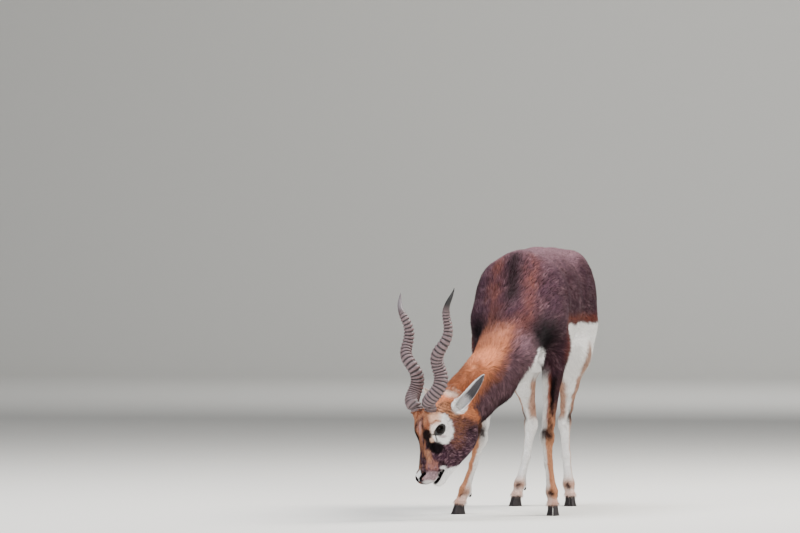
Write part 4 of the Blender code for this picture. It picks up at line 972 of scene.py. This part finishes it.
def closed_tube(name, sections):
    """A tube through rows of points, closed at each end by a fan to the middle of its last row."""
    rows, columns = sections.shape[:2]
    points = np.concatenate([sections.reshape(-1, 3), sections[0].mean(0)[None], sections[-1].mean(0)[None]])
    number = np.arange(rows * columns).reshape(rows, columns)
    right = np.roll(number, -1, axis=1)
    quads = np.stack([number[:-1], number[1:], right[1:], right[:-1]], -1).reshape(-1, 4)
    start = np.stack([np.full(columns, rows * columns), number[0], right[0]], -1)
    end = np.stack([np.full(columns, rows * columns + 1), right[-1], number[-1]], -1)
    piece = array_mesh(name, points, np.concatenate([quads[:, [0, 1, 2]], quads[:, [0, 2, 3]], start, end]))
    work = bmesh.new()
    work.from_mesh(piece.data)
    bmesh.ops.recalc_face_normals(work, faces=work.faces)
    if work.calc_volume(signed=True) < 0:
        bmesh.ops.reverse_faces(work, faces=work.faces)
    work.to_mesh(piece.data)
    work.free()
    piece.data.shade_smooth()
    return piece


def paint_tube(piece, tone):
    """Colours a closed tube row by row, its two end middles like its first and last points."""
    paint(piece.data, np.clip(np.concatenate([tone, tone[:1], tone[-1:]]), 0, 1))


horn_finish = painted_material("horn_keratin", 0.48, 0.45, 900.0, 0.18, 0.0006)
for name, side in SIDES.items():
    base = np.array(HORN_BASE) * np.array([1.0, side, 1.0]) @ HEAD_AXES + HEAD_PLACE
    reach = np.array(HORN_TIP[side]) @ HEAD_AXES + HEAD_PLACE
    rise = unit(reach - base)
    length = np.linalg.norm(reach - base)
    outward = unit(HEAD_AXES[1] * side - rise * (HEAD_AXES[1] * side @ rise))
    forward = np.cross(outward, rise) * side
    level = np.linspace(0.0, 1.0, HORN_ROWS)
    spacing = RING_LOW + RING_SWELL * np.sin(math.pi * np.clip(level / 1.05, 0.0, 1.0)) ** 1.2
    phase = np.mod(np.cumsum(length / (HORN_ROWS - 1) / spacing), 1.0)
    turn = math.radians(HORN_START[side]) + 2 * math.pi * level * length / HORN_PITCH
    swing = HORN_SWING * (1.0 - 0.60 * level) * np.clip(level / HORN_FOOT, 0.35, 1.0)
    line = base + np.outer(level * length - 0.004 * (level == 0), rise)
    line += np.outer(swing * np.cos(turn), forward) + np.outer(swing * np.sin(turn), outward)
    radius = HORN_RADIUS * np.interp(level, HORN_LEVELS, HORN_TAPER)
    part = np.clip(level / HORN_FOOT, 0.0, 1.0)[:, None]
    lean = unit_rows(rise * (1.0 - part) + unit_rows(np.gradient(line, axis=0)) * part)
    ahead = unit_rows(forward - lean * (lean @ forward)[:, None])
    beside = np.cross(lean, ahead)
    beside *= np.sign(beside @ outward)[:, None]
    crest = 1.0 - np.abs(2.0 * np.mod(phase + RING_LEAD, 1.0) - 1.0) ** 2.2
    fade = 1.0 - step(level, RINGED - 0.06, RINGED)
    angle = np.linspace(0, 2 * math.pi, HORN_SEGMENTS, endpoint=False)
    wobble = 0.10 * np.sin(2 * angle[None] + 9.0 * level[:, None])
    height = (0.15 + 0.16 * level)[:, None]
    raised = 1.0 + height * (crest[:, None] * (1.0 + 2.0 * wobble) - 0.5) * fade[:, None]
    arm = ahead[:, None] * np.cos(angle)[None, :, None] + beside[:, None] * np.sin(angle)[None, :, None]
    sections = line[:, None] + arm * (radius[:, None] * raised)[:, :, None]
    horn = closed_tube(f"horn_{name}_ringed", sections)
    # Painted shade in the grooves between the rings and painted highlight on their crests, a mid tone over
    # the smooth tip
    tone = over(
        rgb(20, 11, 14),
        (rgb(108, 88, 90), np.clip(step(crest, 0.30, 0.95) * fade + 0.45 * (1 - fade), 0, 1)),
        (HORN_END_TONE[side], step(level, RINGED - 0.02, RINGED + 0.04)),
        (rgb(70, 56, 54), 0.45 * (1.0 - step(level, 0.0, 0.10))),
    )
    speck = 1.0 + 0.16 * mottle(sections.reshape(-1, 3), 0.004, 41)[:, None]
    paint_tube(horn, np.repeat(tone, HORN_SEGMENTS, axis=0) * speck)
    horn.data.materials.append(horn_finish)
    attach(horn, "root")
    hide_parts(f"horn_{name}")

# Ears. Leaf-shaped cups of gristle under thin hide, rounded at the root and rolled in at the front
# edge. Brown hair outside, pale hair inside with painted shade over the cup towards the tip, and a white
# rim.
EAR_LENGTH = 0.104
EAR_WIDTH = 0.0285
EAR_WALL = 0.0011
EAR_ROWS = 44
EAR_COLUMNS = 37
EAR_HAIRS = 5200
# Painted shade inside the cup: its colour, and how strongly it lies on each ear
EAR_DARK = rgb(52, 48, 52)
EAR_SKIN = {1.0: rgb(204, 198, 200), -1.0: CREAM * 0.8}
EAR_HAIR = {1.0: rgb(218, 214, 216), -1.0: CREAM * 0.85}
EAR_DARKNESS = {1.0: 0.92, -1.0: 0.10}


def ear_surface(side, along, across):
    """A place on the ear: a leaf outline bent into a cup that opens from root to tip."""
    root, way, cup = ear_line(side)
    half = EAR_WIDTH / 2 * np.maximum(0.05, (1.0 - along**4) * (1.12 - 0.20 * along)) ** 0.75
    curl = np.radians(52.0 + 108.0 * (1.0 - along) ** 3)
    radius = half / np.sin(np.minimum(curl, math.pi / 2))
    bow = 0.010 * np.sin(math.pi * along) + 0.010 * (1 - along)
    angle = curl * across
    place = root + way * (-0.008 + along * (EAR_LENGTH + 0.018))[..., None] - cup * bow[..., None]
    place = place + np.cross(way, cup) * (radius * np.sin(angle))[..., None]
    return place + cup * (radius * (1.0 - np.cos(angle)))[..., None]


for name, side in SIDES.items():
    root, way, cup = ear_line(side)
    along, across = np.linspace(0.0, 1.0, EAR_ROWS), np.linspace(-1.0, 1.0, EAR_COLUMNS)
    along, across = np.meshgrid(along, across, indexing="ij")
    middle = ear_surface(side, along, across)
    facing = unit_rows(np.cross(np.gradient(middle, axis=0), np.gradient(middle, axis=1)))
    facing *= np.sign((facing[:, EAR_COLUMNS // 2] @ cup).mean())
    thin = np.sqrt(np.clip(1.0 - 0.75 * np.abs(across) ** 6, 0.05, 1))
    wall = (EAR_WALL * (1.0 - 0.35 * along) * thin)[..., None]
    inner, outer = middle + facing * wall, middle - facing * wall
    ear = closed_tube(f"ear_{name}_cup", np.concatenate([inner, outer[:, ::-1]], axis=1))
    rim = step(np.abs(across), 0.80, 0.93).ravel()
    # Painted shade inside the cup towards the tip
    deep = (step(along, 0.24, 0.42) * step(across, -0.80, -0.45)).ravel()
    front_rim = rim * (across < 0).ravel()
    inside = over(EAR_SKIN[side], (EAR_DARK, EAR_DARKNESS[side] * deep), (WHITE * 0.9, front_rim))
    outside = over(RUFOUS * 0.8, (UMBER, step(along, 0.2, 0.8).ravel()), (WHITE, rim))
    inside, outside = inside.reshape(*along.shape, 3), outside.reshape(*along.shape, 3)
    paint_tube(ear, np.concatenate([inside, outside[:, ::-1]], axis=1).reshape(-1, 3))
    ear.data.materials.append(hide_finish)
    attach(ear, "root")
    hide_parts(f"ear_{name}")
    # Hair inside the cup and along its rim, and short hair over its back
    along = rng.uniform(0.0, 0.98, EAR_HAIRS)
    across = rng.uniform(-1.0, 1.0, EAR_HAIRS)
    inward = rng.uniform(0, 1, EAR_HAIRS) < 0.5
    place = ear_surface(side, along, across)
    ahead = ear_surface(side, along + 1e-3, across) - place
    beside = ear_surface(side, along, across + 1e-3) - place
    facing = unit_rows(np.cross(ahead, beside))
    facing *= np.sign((facing[np.abs(across) < 0.1] @ cup).mean())
    facing = np.where(inward[:, None], facing, -facing)
    rim = step(np.abs(across), 0.80, 0.95)
    # Painted shade over the hair inside the cup towards the tip
    deep = step(along, 0.24, 0.42) * step(across, -0.80, -0.45)
    near_root = 1.0 - step(along, 0.10, 0.30)
    inside = over(EAR_HAIR[side], (EAR_DARK, EAR_DARKNESS[side] * deep))
    outside = over(RUFOUS * 0.9, (UMBER, step(along, 0.2, 0.8)))
    tone = over(
        np.where(inward[:, None], inside, outside),
        (WHITE * 0.9, rim * (across < 0) * (along < 0.8)),
        (WHITE * 0.95, 1.0 - step(along, 0.10, 0.24)),
    )
    lengths = np.where(inward, 0.0070 + 0.004 * (1 - along), 0.0055) * rng.uniform(0.7, 1.2, EAR_HAIRS)
    lengths = (lengths + 0.006 * near_root) * (1.0 - 0.45 * step(along, 0.8, 1.0))
    tufted = tuft_mesh(
        f"ear_{name}_hair",
        place + facing * 0.0008,
        facing,
        unit_rows(ahead),
        lengths,
        0.0013 * rng.uniform(0.7, 1.3, EAR_HAIRS),
        lengths * (0.16 + 0.40 * near_root),
        tone * (1.0 + 0.12 * rng.normal(0, 1, EAR_HAIRS)[:, None]),
        SPIKE,
        (to_body(root), to_body(root + way * 0.12)),
    )

# Eyes. A glossy ball set deep between the lids, dark brown with a black pupil that is wider than
# high, and a slight swell where the clear front lies.
EYE_ROWS = 40
EYE_COLUMNS = 56
CLEAR_SWELL = 0.035
PUPIL_WIDE, PUPIL_HIGH = 0.42, 0.22
EYE_SHADE = 0.70


def ball_angles(rows, columns, margin):
    """Tilt from pole to pole, short of each by a margin, and turn about the axis, over a grid."""
    tilt = np.linspace(margin, math.pi - margin, rows)
    spin = np.linspace(0, 2 * math.pi, columns, endpoint=False)
    return np.meshgrid(tilt, spin, indexing="ij")


eye_finish = painted_material("eye_wet", 0.07, 0.06, 900.0, 0.30, 0.0)
for name in SIDES:
    slit, rise, out = eye_frame(name)
    tilt, spin = ball_angles(EYE_ROWS, EYE_COLUMNS, 0.02)
    along, across = np.sin(tilt) * np.cos(spin), np.sin(tilt) * np.sin(spin)
    radius = (EYE_RADIUS - 0.0002) * (1.0 + CLEAR_SWELL * np.exp(-((tilt / 0.55) ** 4)))
    arm = slit * along[..., None] + rise * across[..., None] + out * np.cos(tilt)[..., None]
    eye = closed_tube(f"eye_{name}_ball", EYE_CENTRES[name] + arm * radius[..., None])
    pupil = 1.0 - step(np.hypot(along / PUPIL_WIDE, across / PUPIL_HIGH), 0.85, 1.1)
    iris = 1.0 - step(tilt, 0.62, 0.74)
    tone = over(rgb(16, 10, 9), (rgb(20, 12, 9), iris.ravel()), (rgb(2, 2, 3), pupil.ravel()))
    paint_tube(eye, EYE_SHADE * tone)
    eye.data.materials.append(eye_finish)
    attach(eye, "root")
    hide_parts(f"eye_{name}")

# Hooves. Two pointed claws of black horn to each foot, flat inside, bowed outside, ringed by growth,
# with two small dewclaws behind each fetlock.
HOOF_HEIGHT = 0.0270
HOOF_LENGTH = 0.046
HOOF_WIDTH = 0.017
HOOF_ROWS = 15
HOOF_COLUMNS = 40
CLEFT = 0.0009
GROWTH = 0.00022
DEWCLAW_RADII = (0.0046, 0.0050, 0.0075)
DEWCLAW_SPOT = (0.0095, 0.0205, -0.0125)
FEET = {
    "fore_left": ((0.0865, -0.272), 8.0, (0.080, -0.252, 0.064)),
    "fore_right": ((-0.173, -0.238), -24.0, (-0.161, -0.222, 0.064)),
    "hind_left": ((0.048, 0.288), 12.0, (0.041, 0.306, 0.062)),
    "hind_right": ((-0.100, 0.266), -16.0, (-0.093, 0.286, 0.062)),
}


def claw_sections(middle, forward, outward):
    """A claw as level rings: a bow on its outside, flat inside, shorter and narrower upwards."""
    height = np.linspace(0.0, 1.0, HOOF_ROWS)[:, None]
    spin = np.linspace(0, 2 * math.pi, HOOF_COLUMNS, endpoint=False)[None]
    along = 0.5 - 0.5 * np.cos(spin)
    outer = np.sin(spin) > 0
    bowed = HOOF_WIDTH * np.sin(math.pi * (0.16 + 0.76 * along)) ** 0.8
    length = HOOF_LENGTH * (1.0 - 0.42 * height ** (0.85 + 0.25 * along))
    growth = GROWTH * np.sin(height * 9 * math.pi) * (height < 0.97)
    ahead = (along - 0.36) * length - 0.004 * height + 0.004 - growth * np.cos(spin)
    round_off = np.where(outer, 1.0 - 0.26 * height - 0.06 * np.sin(math.pi * height), 0.0)
    aside = CLEFT + bowed * round_off * np.clip(np.abs(np.sin(spin)) * 3.0, 0, 1) + growth * outer
    lift = np.broadcast_to(height * HOOF_HEIGHT, ahead.shape)
    sections = middle + forward * ahead[..., None] + outward * aside[..., None]
    return sections + np.array([0.0, 0.0, 1.0]) * lift[..., None]


hoof_finish = painted_material("hoof_horn", 0.58, 0.25, 600.0, 0.35, 0.0010)
for foot, (centre, toe, fetlock) in FEET.items():
    heading = math.radians(toe)
    forward = np.array([math.sin(heading), -math.cos(heading), 0.0])
    for claw, side in SIDES.items():
        outward = np.array([math.cos(heading), math.sin(heading), 0.0]) * side
        sections = claw_sections(BODY_PLACE + np.array([*centre, 0.0]), forward, outward)
        hoof = closed_tube(f"hoof_{foot}_{claw}_claw", sections)
        # Paler towards the top of the claw
        paler_top = 0.6 * np.repeat(step(np.linspace(0.0, 1.0, HOOF_ROWS), 0.75, 1.0), HOOF_COLUMNS)
        speck = 1.0 + 0.25 * mottle(sections.reshape(-1, 3), 0.003, 51)[:, None]
        paint_tube(hoof, over(rgb(30, 24, 25), (rgb(70, 56, 50), paler_top)) * speck)
        hoof.data.materials.append(hoof_finish)
        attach(hoof, "root")
        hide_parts(f"hoof_{foot}_{claw}")
        tilt, spin = ball_angles(12, 18, 0.05)
        knob = np.stack([np.sin(tilt) * np.cos(spin), np.sin(tilt) * np.sin(spin), np.cos(tilt)], -1)
        knob = knob * np.array(DEWCLAW_RADII)
        knob[..., 1] += 0.25 * np.clip(-knob[..., 2], 0, None)
        spot = BODY_PLACE + np.array(fetlock) + np.array(DEWCLAW_SPOT) * np.array([side, 1.0, 1.0])
        dewclaw = closed_tube(f"dewclaw_{foot}_{claw}", knob + spot)
        paint(dewclaw.data, np.tile(rgb(36, 30, 30), (len(dewclaw.data.vertices), 1)))
        dewclaw.data.materials.append(hoof_finish)
        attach(dewclaw, "root")

# Studio. A pale floor that rises far behind the animal, and a camera 14 m off with a long lens, a little
# to the animal's left of dead ahead and at the height of its back. Soft light falls from above and
# behind on the right, with a wide fill from the camera's side, as under a bright overcast sky.
CAMERA_LENS = 230.0
CAMERA_PLACE = (2.1901, -13.8276, 0.65)
CAMERA_TILT = 90.0 + 0.074
CAMERA_TURN = 9.0 + 1.535
BACKDROP_Y = 18.0
BACKDROP_RADIUS = 3.0
FLOOR_REACH = 26.0
LAMPS = (
    ("key", (2.6, 1.6, 4.0), (0.0, 0.0, 0.35), 2.0, 420.0, (1.0, 0.97, 0.93)),
    ("fill", (-3.5, -5.5, 3.0), (0.0, 0.0, 0.35), 3.0, 330.0, (0.93, 0.96, 1.0)),
    ("front", (3.6, -6.0, 2.6), (0.0, 0.0, 0.35), 2.2, 380.0, (1.0, 0.97, 0.94)),
    ("top", (-0.8, 0.0, 4.5), (0.0, 0.0, 0.35), 2.5, 230.0, (0.95, 0.96, 1.0)),
    ("backdrop", (0.0, 11.0, 6.0), (0.0, 21.0, 2.0), 4.0, 500.0, (1.0, 1.0, 1.0)),
)
camera = bpy.data.objects.new("camera", bpy.data.cameras.new("camera"))
bpy.context.scene.collection.objects.link(camera)
camera.data.lens = CAMERA_LENS
camera.data.sensor_width = 36.0
camera.data.clip_end = 60.0
camera.location = BODY_PLACE + np.array(CAMERA_PLACE)
camera.rotation_euler = (math.radians(CAMERA_TILT), 0.0, math.radians(CAMERA_TURN))
bpy.context.scene.camera = camera

run = np.linspace(-FLOOR_REACH, 30.0, 160)
bend = np.clip((run - BACKDROP_Y) / BACKDROP_RADIUS, 0, math.pi / 2)
back = np.where(run < BACKDROP_Y, run, BACKDROP_Y + BACKDROP_RADIUS * np.sin(bend))
wall = np.clip(run - BACKDROP_Y - BACKDROP_RADIUS * math.pi / 2, 0, None)
rise = BACKDROP_RADIUS * (1 - np.cos(bend)) + wall
width = np.linspace(-FLOOR_REACH, FLOOR_REACH, 30)
sweep = np.stack(np.broadcast_arrays(width[None], back[:, None], rise[:, None]), -1)
number = np.arange(sweep.size // 3).reshape(sweep.shape[:2])
quads = np.stack([number[:-1, :-1], number[:-1, 1:], number[1:, 1:], number[1:, :-1]], -1).reshape(-1, 4)
floor = array_mesh("floor", sweep.reshape(-1, 3), quads)
paper = bpy.data.materials.new("floor_paper")
paper.use_nodes = True
paper.node_tree.nodes["Principled BSDF"].inputs["Base Color"].default_value = (*rgb(222, 220, 214), 1)
paper.node_tree.nodes["Principled BSDF"].inputs["Roughness"].default_value = 0.9
floor.data.materials.append(paper)

for name, place, aim, size, power, tint in LAMPS:
    lamp = bpy.data.objects.new(name, bpy.data.lights.new(name, "AREA"))
    bpy.context.scene.collection.objects.link(lamp)
    lamp.data.size = size
    lamp.data.energy = power
    lamp.data.color = tint
    lamp.location = place
    lamp.rotation_euler = (Vector(place) - Vector(aim)).to_track_quat("Z", "Y").to_euler()
world = bpy.data.worlds.new("studio")
bpy.context.scene.world = world
world.use_nodes = True
world.node_tree.nodes["Background"].inputs["Color"].default_value = (0.88, 0.91, 0.95, 1)
world.node_tree.nodes["Background"].inputs["Strength"].default_value = 0.30
